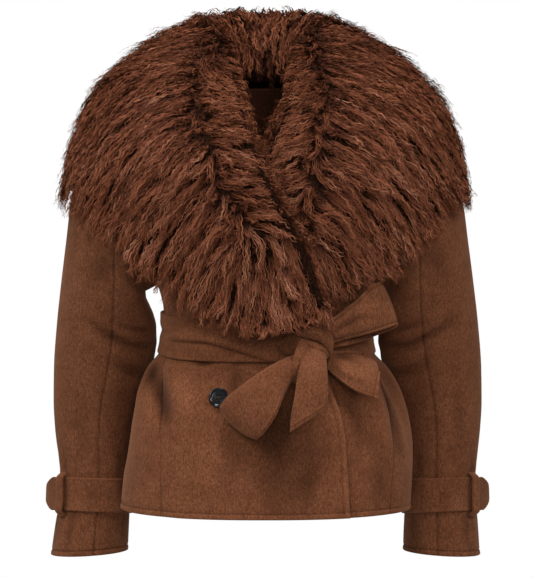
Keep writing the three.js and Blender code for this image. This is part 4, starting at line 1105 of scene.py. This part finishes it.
# Sleeves. Their creases run over turn and row, worked out at each ring.
SLEEVE_ROWS = np.concatenate([
    np.linspace(0, 1, 9)[:-1],
    np.linspace(1, 12.4, 74)[:-1],
    LAST_ROW - np.array([27, 24, 21, 18, 15, 12, 9.6, 8.4, 7.6, 6.8, 5.6, 3.4, 1.6, 0.8, 0.3, 0]) / 46,
])
TURN_MM = 1.05  # millimetres to a degree of turn
ROW_MM = 47.0  # millimetres to a row
SLEEVE_FOLDS = [
    # (turn, row) path, depth, width: elbow folds at the inner front, gathers over the strap, flutes below it
    ([(205, 5.2), (232, 5.5), (258, 5.5)], 2.6, 7),
    ([(200, 6.0), (236, 6.2), (268, 5.9), (290, 5.6)], 3.2, 8),
    ([(196, 6.9), (228, 6.9), (262, 6.6)], 2.4, 8),
    ([(120, 6.3), (150, 6.4), (182, 6.2)], 2.2, 9),
    ([(96, 3.1), (120, 3.6), (150, 3.9)], 1.8, 10),
    ([(250, 2.7), (275, 3.6), (286, 4.6)], 1.8, 11),
    ([(284, 7.4), (288, 8.4), (284, 9.6)], 1.2, 12),
    ([(318, 9.4), (322, 9.9), (318, 10.4)], 2.0, 6),
    ([(352, 9.1), (356, 9.8), (350, 10.4)], 1.6, 7),
    ([(392, 9.5), (390, 9.9), (394, 10.4)], 1.9, 6),
    ([(430, 9.3), (432, 9.8), (428, 10.4)], 1.8, 7),
    ([(132, 9.4), (134, 9.9), (130, 10.4)], 1.8, 7),
    ([(176, 9.2), (172, 9.8), (176, 10.4)], 1.7, 7),
    ([(226, 9.3), (222, 9.9), (226, 10.4)], 2.0, 6),
    ([(300, 11.6), (302, 12.2), (306, 12.9)], 1.8, 8),
    ([(338, 11.6), (340, 12.1), (336, 12.8)], 1.5, 8),
    ([(384, 11.6), (388, 12.2), (386, 12.9)], 1.9, 8),
    ([(424, 11.6), (422, 12.2), (426, 12.8)], 1.6, 8),
    ([(150, 11.6), (148, 12.2), (152, 12.9)], 1.8, 8),
    ([(206, 11.6), (210, 12.2), (208, 12.8)], 1.6, 8),
]


def sleeve_relief(side):
    lean = 0.0 if side == "right" else 7.0

    def relief(points, normals, us, vs):
        turn, row = np.meshgrid(us, vs)
        total = np.zeros(turn.shape)
        for path, depth, width in SLEEVE_FOLDS:
            flat = [((t + lean) * TURN_MM, r * ROW_MM) for t, r in path]
            total -= trough(*path_distance(turn * TURN_MM, row * ROW_MM, flat), depth, width)
        return total

    return relief


def add_sleeves():
    gap = SEAM_GAP_TURN * 2.4
    edges = {"v0": "seam", "v1": "hem", "u0": "seam", "u1": "seam"}
    for side, handed in (("right", 1), ("left", -1)):
        parts = [
            ("upper", FRONT_SEAM_TURN, BACK_SEAM_TURN + 360),
            ("under", BACK_SEAM_TURN, FRONT_SEAM_TURN),
        ]
        for part, start, end in parts:
            us = lines(start + gap, end - gap, (end - start) * TURN_MM, 6.6, "seam", "seam")
            name = f"sleeve_{part}_{side}"
            cloth(name, [name], sleeve_surface(side), us, SLEEVE_ROWS, WALL, handed, edges,
                  extra=sleeve_relief(side), inner_material=shaded_inner_wool)


# Belt and bow
BELT_CREASES = {
    "front": [
        ([(-118, -351), (-96, -355), (-70, -361)], 1.4, 4),
        ([(-132, -338), (-100, -334), (-64, -340)], 1.2, 7),
        ([(96, -352), (112, -350), (130, -340)], 1.8, 5),
    ],
    "back": [
        ([(-110, -346), (-50, -352), (20, -344), (90, -350)], 1.8, 5),
        ([(-80, -330), (-30, -326), (40, -332)], 1.4, 6),
        ([(-60, -358), (0, -356), (60, -360)], 1.3, 5),
    ],
    "left": [
        ([(-60, -352), (-10, -346), (40, -344)], 1.6, 5),
    ],
    "right": [
        ([(-60, -350), (0, -344), (50, -342)], 1.6, 5),
    ],
}
# The belt's long fold at the front: its line in x and z, over which the upper part bulges
BELT_FOLD = [(-128, -359), (-100, -361), (-77, -362), (-45, -370), (-19, -378), (14, -388)]


def belt_fold(points, normals, us, vs):
    path = np.array(BELT_FOLD, float)
    x, z = points[..., 0], points[..., 2]
    above = z - np.interp(x, path[:, 0], path[:, 1])
    fade = smooth_step(-140, -112, x) * smooth_step(40, 4, x) * smooth_step(0.1, 0.4, -normals[..., 1])
    bulge = 4.6 * np.exp(-(((above - 6.0) / 6) ** 2)) - 5.0 * np.exp(-((above / 2.2) ** 2))
    return fade * (bulge + 0.9 * np.exp(-(((above + 7) / 5) ** 2)))


# Creases of the bow and the knot, all seen from the front
BOW_CREASES = {
    "bow_loop_upper": [
        ([(84, -350), (104, -340), (126, -330), (142, -326)], 2.6, 6),
        ([(86, -362), (104, -356), (122, -352)], 2.2, 4),
        ([(82, -338), (96, -330), (112, -318)], 1.8, 5),
    ],
    "bow_loop_lower": [
        ([(42, -386), (30, -396), (16, -410), (4, -428)], 2.6, 6),
        ([(40, -396), (30, -412), (20, -432)], 2.0, 5),
        ([(36, -380), (18, -388), (-2, -402)], 1.6, 6),
    ],
    "belt_tail_centre": [
        ([(61, -360), (62, -372), (58, -388), (56, -410)], 2.6, 4.0),
        ([(72, -362), (77, -372), (78, -388)], 2.2, 3.0),
    ],
    "belt_tail_side": [
        ([(88, -378), (104, -378), (128, -386)], 2.0, 6),
        ([(90, -392), (106, -404), (130, -416), (146, -424)], 1.6, 3.4),
    ],
    "knot_wrap": [
        ([(52, -344), (66, -342), (78, -348), (86, -360)], 1.2, 3.5),
        ([(56, -350), (68, -350), (78, -356)], 0.9, 2.6),
    ],
    "knot_start": [
        ([(22, -362), (32, -360), (44, -354)], 1.0, 4),
    ],
    "bow_fold": [
        ([(50, -370), (46, -386), (43, -400)], 1.2, 4),
    ],
}
# Rough length of cloth between two stations of each band
BAND_STEP = {
    "bow_loop_upper": 40.0,
    "bow_loop_lower": 40.0,
    "belt_tail_centre": 26.0,
    "belt_tail_side": 26.0,
    "knot_wrap": 15.0,
    "knot_start": 14.0,
    "bow_fold": 16.0,
}
KNOT_CREASES = [
    ([(44, -352), (54, -354), (70, -358), (84, -366), (92, -378)], 4.2, 2.6),
    ([(40, -346), (46, -352), (52, -362), (50, -374)], 2.4, 2.6),
    ([(60, -346), (74, -348), (86, -356)], 0.9, 3.5),
    ([(56, -364), (54, -374), (56, -384)], 1.4, 3.5),
]


def add_belt():
    us = np.arange(-180, 180, 2.5)
    vs = lines(-1, 1, BELT_WIDTH, 1.7, "plain", "plain")
    cloth("belt_band", ["belt_band"], belt_surface, us, vs, BELT_THICKNESS, 1, {"v0": "plain", "v1": "plain"},
          BELT_CREASES, closed=True,
          extra=belt_fold, follow=0.15)
    for name, stations in (BANDS | KNOT_BANDS).items():
        last = stations["step"][-1]
        length = BAND_STEP[name] * last
        vs = lines(0, last, length, 3.4, "plain", "hem" if "tail" in name else "plain")
        long_edge = "plain" if name in KNOT_BANDS else "rim"
        us = lines(0, 1, 22 if name in KNOT_BANDS else 50, 3.0, long_edge, long_edge)
        edges = {"u0": long_edge, "u1": long_edge, "v0": "plain", "v1": "plain"}
        if "tail" in name:
            edges["v1"] = "hem"
        nodes = [name] if name in BANDS else []
        cloth(name, nodes, band_surface(name, stations), us, vs, BELT_THICKNESS, 1, edges,
              {"front": BOW_CREASES[name]})
    add_knot()


def add_knot():
    around, up = 72, 48
    long = np.linspace(0, 2 * np.pi, around, endpoint=False)[None, :]
    lat = np.linspace(-np.pi / 2 + 0.02, np.pi / 2 - 0.02, up)[:, None]
    ball = np.broadcast_arrays(np.cos(lat) * np.cos(long), np.sin(lat), np.cos(lat) * np.sin(long))
    halves = (KNOT_WIDE, KNOT_HIGH, KNOT_DEEP)
    wide, high, deep = (signed_power(part, KNOT_POWER) * half for part, half in zip(ball, halves))
    lean = np.radians(KNOT_LEAN)
    middle_y = front_at(np.array(KNOT_X), np.array(KNOT_Z)) - KNOT_LIFT
    x = KNOT_X + wide * np.cos(lean) + high * np.sin(lean)
    z = KNOT_Z + high * np.cos(lean) - wide * np.sin(lean)
    points = np.stack([x, middle_y + deep, z], -1)
    normals = grid_normals(points, 1, True)
    middle = np.array([KNOT_X, float(middle_y), KNOT_Z])
    if np.sum(normals * (points - middle)) < 0:
        normals = -normals
    relief = crease_relief(points, normals, {"front": KNOT_CREASES})
    points = points + normals * relief[..., None]
    faces = grid_faces(up, around, True)
    count = up * around
    points = np.concatenate([points.reshape(-1, 3), points[0].mean(0)[None], points[-1].mean(0)[None]])
    ring = np.arange(around)
    low = np.stack([ring, np.roll(ring, -1), np.full(around, count)], -1)
    high_ring = (up - 1) * around + ring
    top = np.stack([np.roll(high_ring, -1), high_ring, np.full(around, count + 1)], -1)
    triangles = np.concatenate([faces[:, [0, 1, 2]], faces[:, [0, 2, 3]], low[:, ::-1], top[:, ::-1]])
    # Painted shade in the knot's creases
    crease_shade = np.append(np.clip(0.5 + relief / CREASE_SHADE_DEPTH, 0, 1).ravel(), [0.5, 0.5])
    knot = add_mesh("belt_knot", points, triangles, wool, crease_shade=crease_shade)
    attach(knot, "root")
    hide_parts("belt_knot")


# Cuff straps and their keepers


def strap_middle(t):
    turn = np.radians(t)
    return STRAP_MIDDLE + STRAP_TILT * np.sin(turn) + STRAP_SLOPE * (1 - np.cos(turn)) / 2


def strap_surface(side):
    def surface(share, t):
        end = np.clip((STRAP_END - t) / STRAP_POINT, 0, 1) ** 0.8
        half = STRAP_WIDTH / 2 * (0.2 + 0.8 * end)
        over = (STRAP_THICKNESS + STRAP_LAP) * smooth_step(*STRAP_LAP_TURNS, t)
        proud = STRAP_TIP_RISE * smooth_step(STRAP_RISE_TURN, STRAP_END, t)
        row = strap_middle(t) + share * half / ROW_HEIGHT
        out = STRAP_EASE + over + proud + STRAP_THICKNESS + 0 * share
        return sleeve_ring(side, t, row) + sleeve_out(side, t, row) * out[..., None]

    return surface


KEEPER_LOOP = by_step("down lift", [
    [-1.24, 0.9], [-1.1, 4.8], [-0.94, 8.6], [0, 9.4], [0.94, 8.6], [1.1, 4.8], [1.24, 0.9],
])


def keeper_surface(side):
    at = curves(KEEPER_LOOP)

    def surface(wide, k):
        row = strap_middle(KEEPER_TURN) + at["down"](k) * STRAP_WIDTH / 2 / ROW_HEIGHT
        t = KEEPER_TURN + wide * KEEPER_HALF_TURN
        out = at["lift"](k) + 0.6 + 3.0 * np.sqrt(np.maximum(0, 1 - wide**2))
        return sleeve_ring(side, t, row) + sleeve_out(side, t, row) * out[..., None]

    return surface


def strap_relief(points, normals, us, vs):
    """A stitch line along both long edges, and soft waves where the strap is pulled tight."""
    share, turn = np.meshgrid(us, vs)
    stitched = np.exp(-(((1 - np.abs(share)) * STRAP_WIDTH / 2 - 6.0) / 0.9) ** 2)
    waves = np.sin(np.radians(turn) * 5.0 + 1.3 * share) * 0.35 + np.sin(np.radians(turn) * 9.0 - share) * 0.2
    beside = np.abs(turn - KEEPER_TURN - 360) - KEEPER_HALF_TURN
    held_down = 2.0 * np.exp(-(((beside - 1.5) / 3.0) ** 2)) + 0.8 * (beside < 0)
    return waves - 0.4 * stitched - held_down


def add_cuffs():
    for side, handed in (("right", -1), ("left", 1)):
        name = f"cuff_strap_{side}"
        vs = lines(STRAP_START, STRAP_END, (STRAP_END - STRAP_START) * 0.98, 5.0, "plain", "plain")
        us = lines(-1, 1, STRAP_WIDTH, 4.0, "hem", "hem")
        edges = {key: "plain" for key in ("u0", "u1", "v0", "v1")}
        cloth(name, [name], strap_surface(side), us, vs, STRAP_THICKNESS, handed, edges,
              extra=strap_relief)
        name = f"cuff_keeper_{side}"
        us = np.array([-1, -0.9, -0.7, -0.35, 0, 0.35, 0.7, 0.9, 1])
        cloth(name, [name], keeper_surface(side), us, np.linspace(0, 6, 61), KEEPER_THICKNESS, handed,
              {key: "plain" for key in ("u0", "u1")})


# Button: a lathed disc with a raised rim, a dished middle and four holes with thread
BUTTON_PROFILE = by_step("r up", [
    [11.6, 0], [13.2, 0.5], [13.6, 1.6], [13.6, 3.0], [13.0, 4.1], [12.2, 4.4], [11.3, 4.1], [10.4, 3.4],
    [9.0, 2.8], [7.6, 2.7],
])
RIM_RINGS, DISH_RINGS = 28, 30
DISH_RADIUS, DISH_UP, DISH_SINK = 7.6, 2.7, 0.35
HOLE_OUT, HOLE_RADIUS, HOLE_DEPTH = 2.3, 1.1, 2.2
THREAD_SHIFT, THREAD_RADIUS = 0.3, 0.28


def button_frame():
    def at(x, z):
        return np.array([x, float(front_at(np.array(float(x)), np.array(float(z)))), z])

    middle = at(BUTTON_X, BUTTON_Z)
    across = unit(at(BUTTON_X + 4, BUTTON_Z) - middle)
    out = unit(np.cross(across, at(BUTTON_X, BUTTON_Z + 4) - middle))
    return middle + out * BUTTON_STAND, across, np.cross(out, across), out


def add_button():
    place, across, up, out = button_frame()
    at = curves(BUTTON_PROFILE)
    k = np.linspace(0, BUTTON_PROFILE["step"][-1], RIM_RINGS)
    dish = RIM_RINGS + 1
    radius = np.concatenate([[0.01], at["r"](k), np.linspace(DISH_RADIUS - 0.3, 0.05, DISH_RINGS)])
    height = np.concatenate([[0.0], at["up"](k), np.full(DISH_RINGS, DISH_UP)])
    around = np.linspace(0, 2 * np.pi, 80, endpoint=False)
    a, b = radius[:, None] * np.cos(around), radius[:, None] * np.sin(around)
    lift = np.broadcast_to(height[:, None], a.shape).copy()
    lift[dish:] -= DISH_SINK * (1 - (np.hypot(a[dish:], b[dish:]) / DISH_RADIUS) ** 2)
    for sx in (-1, 1):
        for sy in (-1, 1):
            away = np.hypot(a - sx * HOLE_OUT, b - sy * HOLE_OUT)
            pit = HOLE_DEPTH * smooth_step(HOLE_RADIUS + 0.25, HOLE_RADIUS - 0.3, away)
            lift[dish:] -= pit[dish:]
    points = place + a[..., None] * across + b[..., None] * up + lift[..., None] * out
    faces = grid_faces(*a.shape, True)
    disc = add_mesh("button", points.reshape(-1, 3), faces, button_black)
    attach(disc, "root")
    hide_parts("button")

    stitches, quads = [], []
    for start, end in (((-1, -1), (1, 1)), ((-1, 1), (1, -1)), ((-1, -1), (-1, 1)), ((1, -1), (1, 1))):
        for shift in (-THREAD_SHIFT, THREAD_SHIFT):
            first = sum(len(part) for part in stitches)
            tube = thread_tube(np.array(start) * HOLE_OUT, np.array(end) * HOLE_OUT, shift)
            stitches.append((place + tube @ np.stack([across, up, out])).reshape(-1, 3))
            quads.append(grid_faces(tube.shape[0], tube.shape[1], True, first=first))
    sewn = add_mesh("button_thread", np.concatenate(stitches), np.concatenate(quads), thread)
    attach(sewn, "root")


def thread_tube(start, end, shift):
    """A short arc of thread from hole to hole, in the button's own axes."""
    t = np.linspace(0, 1, 9)[:, None]
    along = unit(np.array([*(end - start), 0.0]))
    side = np.array([-along[1], along[0], 0.0])
    middle = np.array([*start, 0.0]) * (1 - t) + np.array([*end, 0.0]) * t + side * shift
    middle = middle + np.array([0, 0, 1.0]) * (1.6 + 1.25 * np.sin(np.pi * t) ** 0.4)
    around = np.linspace(0, 2 * np.pi, 6, endpoint=False)[None, :, None]
    ring = np.cos(around) * side + np.sin(around) * np.array([0, 0, 1.0])
    return middle[:, None, :] + THREAD_RADIUS * ring


# Fur collar: a hide, painted near-black as the shade deep in the pile, and curly locks of strands that grow
# from it
HIDE_SHARE = 0.6  # of the pile's depth at which the hide lies
STRAND_STEPS = 12
STRANDS_IN_LOCK = 8
SHADE_STRIPS = 48
PARTING_BLUR = 7.0
LENGTH_RANGE = (0.72, 1.2)
NECK_SIDE_LENGTH = 0.78  # share of the length that locks falling to the neck edge have
INWARD_END = 0.22  # share of the collar at which those locks leave its surface
END_SHARES = (1.0, 1.09)  # of the collar's width, at which long locks are cut
LOCK_RADIUS = 6.0
STRAY = 3.2
FLY_AWAY_SHARE, FLY_AWAY_RANGE = 0.15, (4, 9)
CRIMP = 0.5
WIDTH_RANGE = (0.7, 1.25)
COLLAR = {
    # range of u, hand of the normals, and step of u used for the tangents
    "right": {"u": (0.0, 11.0), "handed": -1, "du": 0.04},
    "left": {"u": (0.0, 10.0), "handed": 1, "du": 0.04},
    "back": {"u": (BACK_TOP_TURN, 360 - BACK_TOP_TURN), "handed": -1, "du": 0.5},
}


def collar_surface(part):
    return back_collar_surface if part == "back" else lapel_surface(part)


def collar_turn(part, u, share):
    if part == "back":
        return np.where(u > 180, 360 - u, u)
    at = lapel[part]
    return at["top_turn"](u) + (at["low_turn"](u) - at["top_turn"](u)) * share


def collar_frame(part, u, share):
    """Point, the two tangents for one unit of u and of share, and the outward normal."""
    surface, du, ds = collar_surface(part), COLLAR[part]["du"], 0.01
    low, high = COLLAR[part]["u"]
    u = np.clip(u, low + du, high - du)
    share = np.clip(share, ds, 1.0)
    point = surface(u, share)
    along_u = (surface(u + du, share) - surface(u - du, share)) / (2 * du)
    along_s = (surface(u, share + ds) - surface(u, share - ds)) / (2 * ds)
    normal = unit(np.cross(along_u, along_s)) * COLLAR[part]["handed"]
    return point, along_u, along_s, normal


def add_hide(part):
    low, high = COLLAR[part]["u"]
    us = np.linspace(low + 0.01, high - 0.01, 44)
    shares = np.linspace(0.0, 0.95, 38)
    grid_u, grid_s = np.meshgrid(us, shares)
    surface = collar_surface(part)
    points = surface(grid_u, grid_s)
    normals = collar_frame(part, grid_u, grid_s)[3]
    depth = pile_depth(collar_turn(part, grid_u, grid_s), grid_s)
    outer = points - normals * (depth * HIDE_SHARE)[..., None]
    inner = points - normals * (depth * HIDE_SHARE + 1.6)[..., None]
    piece = wall_mesh(f"fur_hide_{part}", outer, inner, hide)
    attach(piece, "root")
    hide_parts(f"fur_collar_{part}")
    return piece


# Lines from which the fur parts, in x and z: it falls outwards on one side and to the neck edge on the other
PARTINGS = {
    "right": [(-52, 108), (-66, 47), (-100, -7), (-93, -74), (-66, -155), (-24, -216)],
    "left": [(52, 108), (73, 47), (89, -20), (82, -74), (69, -155), (52, -206)],
}


def nearest_on(path, x, z):
    """The closest point of a line through corners, and whether x, z lies on its left going down it."""
    path = np.array(path, float)
    best, near, left = np.full(x.shape, 1e9), np.zeros((*x.shape, 2)), np.zeros(x.shape, bool)
    for start, end in zip(path[:-1], path[1:]):
        step = end - start
        t = np.clip(((x - start[0]) * step[0] + (z - start[1]) * step[1]) / (step @ step), 0, 1)
        foot = start + t[..., None] * step
        away = np.hypot(x - foot[..., 0], z - foot[..., 1])
        closer = away < best - 1e-6
        best = np.where(closer, away, best)
        near = np.where(closer[..., None], foot, near)
        side = step[0] * (z - start[1]) - step[1] * (x - start[0])
        left = np.where(closer, side > 0, left)
    return near, left


def flows_outward(part, point, share):
    if part == "back":
        return share > 0.30
    x, z = point[..., 0], point[..., 2]
    _, left = nearest_on(PARTINGS[part], x, z)
    outer = ~left if part == "right" else left
    return outer | (z < PARTINGS[part][-1][1])


def flow_direction(part, outward, point, normal, along_s):
    """Direction in which the fur lies: away from the parting, and down."""
    section = unit(along_s) * np.where(outward, 1.0, -1.0)[..., None]
    if part == "back":
        wanted = section + np.array([0, 0, -0.35])
    else:
        near, _ = nearest_on(PARTINGS[part], point[..., 0], point[..., 2])
        gone = np.stack([point[..., 0] - near[..., 0], 0 * near[..., 0], point[..., 2] - near[..., 1]], -1)
        far = np.linalg.norm(gone, axis=-1)
        down = np.where(outward, 0.35 + 0.7 * smooth_step(10, 130, far), 0.75)
        wanted = 0.45 * section * outward[..., None] + unit(gone) * smooth_step(0, 14, far)[..., None]
        wanted = wanted + down[..., None] * np.array([0, 0, -1.0])
    return unit(wanted - normal * np.sum(wanted * normal, -1, keepdims=True))


def root_places(part, count, rng, low_share, high_share):
    """Roots spread evenly over the collar's surface between two shares."""
    low, high = COLLAR[part]["u"]
    us, shares = np.linspace(low, high, 81), np.linspace(low_share, high_share, 41)
    points = collar_surface(part)(*np.meshgrid(us, shares))
    a, b = points[1:, 1:] - points[:-1, :-1], points[1:, :-1] - points[:-1, 1:]
    area = np.linalg.norm(np.cross(a, b), axis=2)
    area = (area * np.where(shares[:-1, None] < 0.4, 1.7, 1.0)).ravel()
    cell = np.searchsorted(np.cumsum(area) / area.sum(), (np.arange(count) + rng.random(count)) / count)
    cell = np.minimum(cell, len(area) - 1)
    row, column = np.divmod(cell, len(us) - 1)
    u = us[column] + (us[1] - us[0]) * rng.random(count)
    share = shares[row] + (shares[1] - shares[0]) * rng.random(count)
    return u, share


def crest_places(part, count, rng, low_share, high_share, band):
    """Roots near the parting, at most band millimetres from it, chosen from far more."""
    u, share = root_places(part, count * 14, rng, low_share, high_share)
    point = collar_frame(part, u, share)[0]
    near, _ = nearest_on(PARTINGS[part], point[:, 0], point[:, 2])
    close = np.hypot(point[:, 0] - near[:, 0], point[:, 2] - near[:, 1]) < band
    chosen = rng.permutation(np.flatnonzero(close))[:count]
    return u[chosen], share[chosen]


def lock_paths(part, u, share, length, outward, rng):
    """Centre lines of locks that follow the flow, with the normal and the sideways direction at each step."""
    low, high = COLLAR[part]["u"]
    position = collar_frame(part, u, share)[0]
    u, share = u.copy(), share.copy()
    sway = rng.normal(0, 0.14, len(u))
    step = (length / STRAND_STEPS)[:, None]
    centres, normals, sideways = [], [], []
    for i in range(STRAND_STEPS + 1):
        point, along_u, along_s, normal = collar_frame(part, u, share)
        on = (share < 1.0) & (u > low) & (u < high) & (outward | (share > INWARD_END) | (i == 0))
        position = np.where(on[:, None], point, position)
        forward = flow_direction(part, outward, position, normal, along_s)
        forward = unit(forward + np.cross(normal, forward) * sway[:, None])
        centres.append(position)
        normals.append(normal)
        sideways.append(np.cross(normal, forward))
        move = forward * step
        e, f, g = (np.sum(p * q, -1) for p, q in ((along_u, along_u), (along_u, along_s), (along_s, along_s)))
        p, q = np.sum(move * along_u, -1), np.sum(move * along_s, -1)
        det = np.maximum(e * g - f * f, 1e-3)
        u = u + (g * p - f * q) / det
        share = share + (e * q - f * p) / det
        position = position + move
    return share, [np.stack(x, 1) for x in (centres, normals, sideways)]


def lock_lines(part, rng, seed, places, length):
    """Length and depth of pile of the locks at their roots, and the frames along their centre lines."""
    u, share = places
    locks = len(u)
    root = collar_frame(part, u, share)[0] + rng.normal(0, PARTING_BLUR, (locks, 3))
    outward = flows_outward(part, root, share)
    long = length * rng.uniform(*LENGTH_RANGE, locks)
    long = np.where(outward, long, long * NECK_SIDE_LENGTH)
    end, _ = lock_paths(part, u, share, long, outward, np.random.default_rng(seed + 1))
    room = (rng.uniform(*END_SHARES, locks) - share) / np.maximum(end - share, 1e-3)
    long = long * np.where(end > 1.0, np.clip(room, 0.3, 1.0), 1.0)
    _, frames = lock_paths(part, u, share, long, outward, np.random.default_rng(seed + 1))
    return long, pile_depth(collar_turn(part, u, share), share), frames


def strand_paths(rng, long, depth, frames, curl, wave, reach):
    """Curly strands round the centre line of each lock, how their curls turn, and how deep each lock lies."""
    n, locks = STRANDS_IN_LOCK, len(long)
    many = locks * n
    t = np.linspace(0, 1, STRAND_STEPS + 1)
    centre, normal, side = frames
    depth, lock_long = np.repeat(depth, n), np.repeat(long, n)
    angle, spread = rng.uniform(0, 2 * np.pi, many), LOCK_RADIUS * np.sqrt(rng.random(many))
    gather = 1 - 0.5 * t**0.7
    off_side = (np.cos(angle) * spread)[:, None] * gather
    off_up = (np.sin(angle) * spread * 0.5)[:, None] * gather
    level = np.repeat(rng.uniform(0, 1, locks), n)[:, None]
    rise = 1 - (1 - t[None, :]) ** 2.2
    top = reach * rng.normal(0.2, 0.6, (many, 1)) - 0.4 * depth[:, None] * level
    height = -HIDE_SHARE * depth[:, None] * (1 - rise) + top * rise
    phase = np.repeat(rng.uniform(0, 2 * np.pi, locks), n) + rng.normal(0, 0.85, many)
    waves = np.repeat(wave * rng.uniform(0.8, 1.25, locks), n)
    turning = 2 * np.pi * lock_long[:, None] * t / waves[:, None] + phase[:, None]
    size = curl * rng.uniform(0.6, 1.3, many)[:, None] * (0.3 + 0.7 * t + 0.8 * smooth_step(0.75, 1.0, t))
    off_side = off_side + size * np.sin(turning)
    off_up = off_up + 0.65 * size * np.cos(turning)
    stray = rng.normal(0, 1, (many, 1)) * STRAY * t**2
    flies = np.where(rng.random(locks) < FLY_AWAY_SHARE, rng.uniform(*FLY_AWAY_RANGE, locks), 0)
    lean = rng.choice([-0.8, 0.8], locks)
    crimp = rng.normal(0, CRIMP, (2, many, STRAND_STEPS + 1)) * (t > 0)
    off_side = off_side + stray + np.repeat(flies * lean, n)[:, None] * t**3 + crimp[0]
    off_up = off_up + np.repeat(flies, n)[:, None] * t**3 + crimp[1]
    path = centre + side * off_side[..., None] + normal * (off_up + height)[..., None]
    return path, turning, level[:, 0]


def ribbon_mesh(rng, path, turning, frames, width):
    """Points and faces of a ribbon along each strand, which rolls with the curls and narrows to its tip."""
    _, normal, side = frames
    many, t = len(path), np.linspace(0, 1, STRAND_STEPS + 1)
    roll = 0.65 * np.sin(turning + rng.uniform(0, 6.28, (many, 1)))
    across = side * np.cos(roll)[..., None] + normal * np.sin(roll)[..., None]
    along = unit(np.gradient(path, axis=1))
    across = unit(across - along * np.sum(across * along, -1, keepdims=True))
    wide = width * rng.uniform(*WIDTH_RANGE, (many, 1)) * (0.75 + 0.35 * np.sin(np.pi * t)) * (1 - 0.8 * t**5)
    off = across * (wide / 2)[..., None]
    points = np.stack([path - off, path + off], 2).reshape(-1, 3)
    first = (np.arange(many) * len(t) * 2)[:, None] + np.arange(STRAND_STEPS)[None, :] * 2
    return points, np.stack([first, first + 1, first + 3, first + 2], -1).reshape(-1, 4)


def strand_map(rng, root, level, shade):
    """Map of the ribbons: the strip of a strand's shade across it, and root to tip along it."""
    many, n = len(root), STRANDS_IN_LOCK
    x, y, z = root.T
    mottle = (np.sin(x / 23) + np.sin(z / 17 + 1.7) + np.sin((y + x) / 31)) / 3
    lock_shade = np.repeat(rng.normal(0, 1, many // n), n)
    tone = shade[0] + shade[1] * (0.5 * lock_shade + 0.85 * rng.normal(0, 1, many) + 0.4 * mottle)
    # Painted shade: locks lying deeper in the pile are darker, and the fur is darker higher up the collar
    tone = tone - 0.2 * level - 0.2 * smooth_step(-90, 70, z)
    strip = np.clip((tone * SHADE_STRIPS).astype(int), 1, SHADE_STRIPS - 2)
    u0, u1 = (np.repeat((strip + edge) / SHADE_STRIPS, STRAND_STEPS) for edge in (0.15, 0.85))
    t = np.linspace(0, 1, STRAND_STEPS + 1)
    v0, v1 = np.tile(t[:-1], many), np.tile(t[1:], many)
    return np.stack([u0, v0, u1, v0, u1, v1, u0, v1], -1).reshape(-1, 2)


def grow(part, name, locks, seed, shares, length, curl, wave, reach, shade, width=1.3, crest=None):
    """Curly locks as one mesh of narrow ribbons. Where crest is given, they grow near the parting only."""
    rng = np.random.default_rng(seed)
    if crest is None:
        places = root_places(part, locks, rng, *shares)
    else:
        places = crest_places(part, locks, rng, *shares, crest)
    long, depth, frames = lock_lines(part, rng, seed, places, length)
    frames = [np.repeat(x, STRANDS_IN_LOCK, 0) for x in frames]
    path, turning, level = strand_paths(rng, long, depth, frames, curl, wave, reach)
    points, faces = ribbon_mesh(rng, path, turning, frames, width)
    uvs = strand_map(rng, frames[0][:, 0], level, shade)
    piece = add_mesh(name, points, faces, fur, uvs)
    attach(piece, "root")


LIT, DIM = (0.62, 0.15), (0.4, 0.15)  # middle and spread of a lock's tone; the dim locks are painted darker as shade


def add_fur():
    for part in ("right", "left", "back"):
        add_hide(part)
    grow("right", "fur_right_a", 660, 11, (0.1, 0.93), 52, 1.3, 13, 5, shade=LIT)
    grow("right", "fur_right_b", 600, 12, (0.1, 0.93), 46, 1.2, 12, 4, shade=LIT)
    grow("left", "fur_left_a", 590, 21, (0.1, 0.96), 50, 1.3, 13, 5, shade=LIT)
    grow("left", "fur_left_b", 540, 22, (0.1, 0.96), 44, 1.2, 12, 4, shade=LIT)
    # The dim locks at the crest and the neck edge, and the darker neck locks, are painted shade
    grow("right", "fur_crest_right", 130, 13, (0.1, 0.8), 20, 2.3, 9, 4, crest=16, shade=DIM)
    grow("left", "fur_crest_left", 120, 23, (0.1, 0.8), 20, 2.3, 9, 4, crest=16, shade=DIM)
    grow("right", "fur_edge_right", 150, 14, (0.02, 0.12), 30, 1.2, 11, 3, shade=DIM)
    grow("back", "fur_back_a", 730, 31, (0.1, 0.93), 56, 1.5, 13, 5, width=2.0, shade=LIT)
    grow("back", "fur_neck", 120, 41, (0.02, 0.3), 22, 2.4, 9, 3, shade=(0.2, 0.1))


add_body()
add_sleeves()
add_belt()
add_cuffs()
add_button()
add_fur()
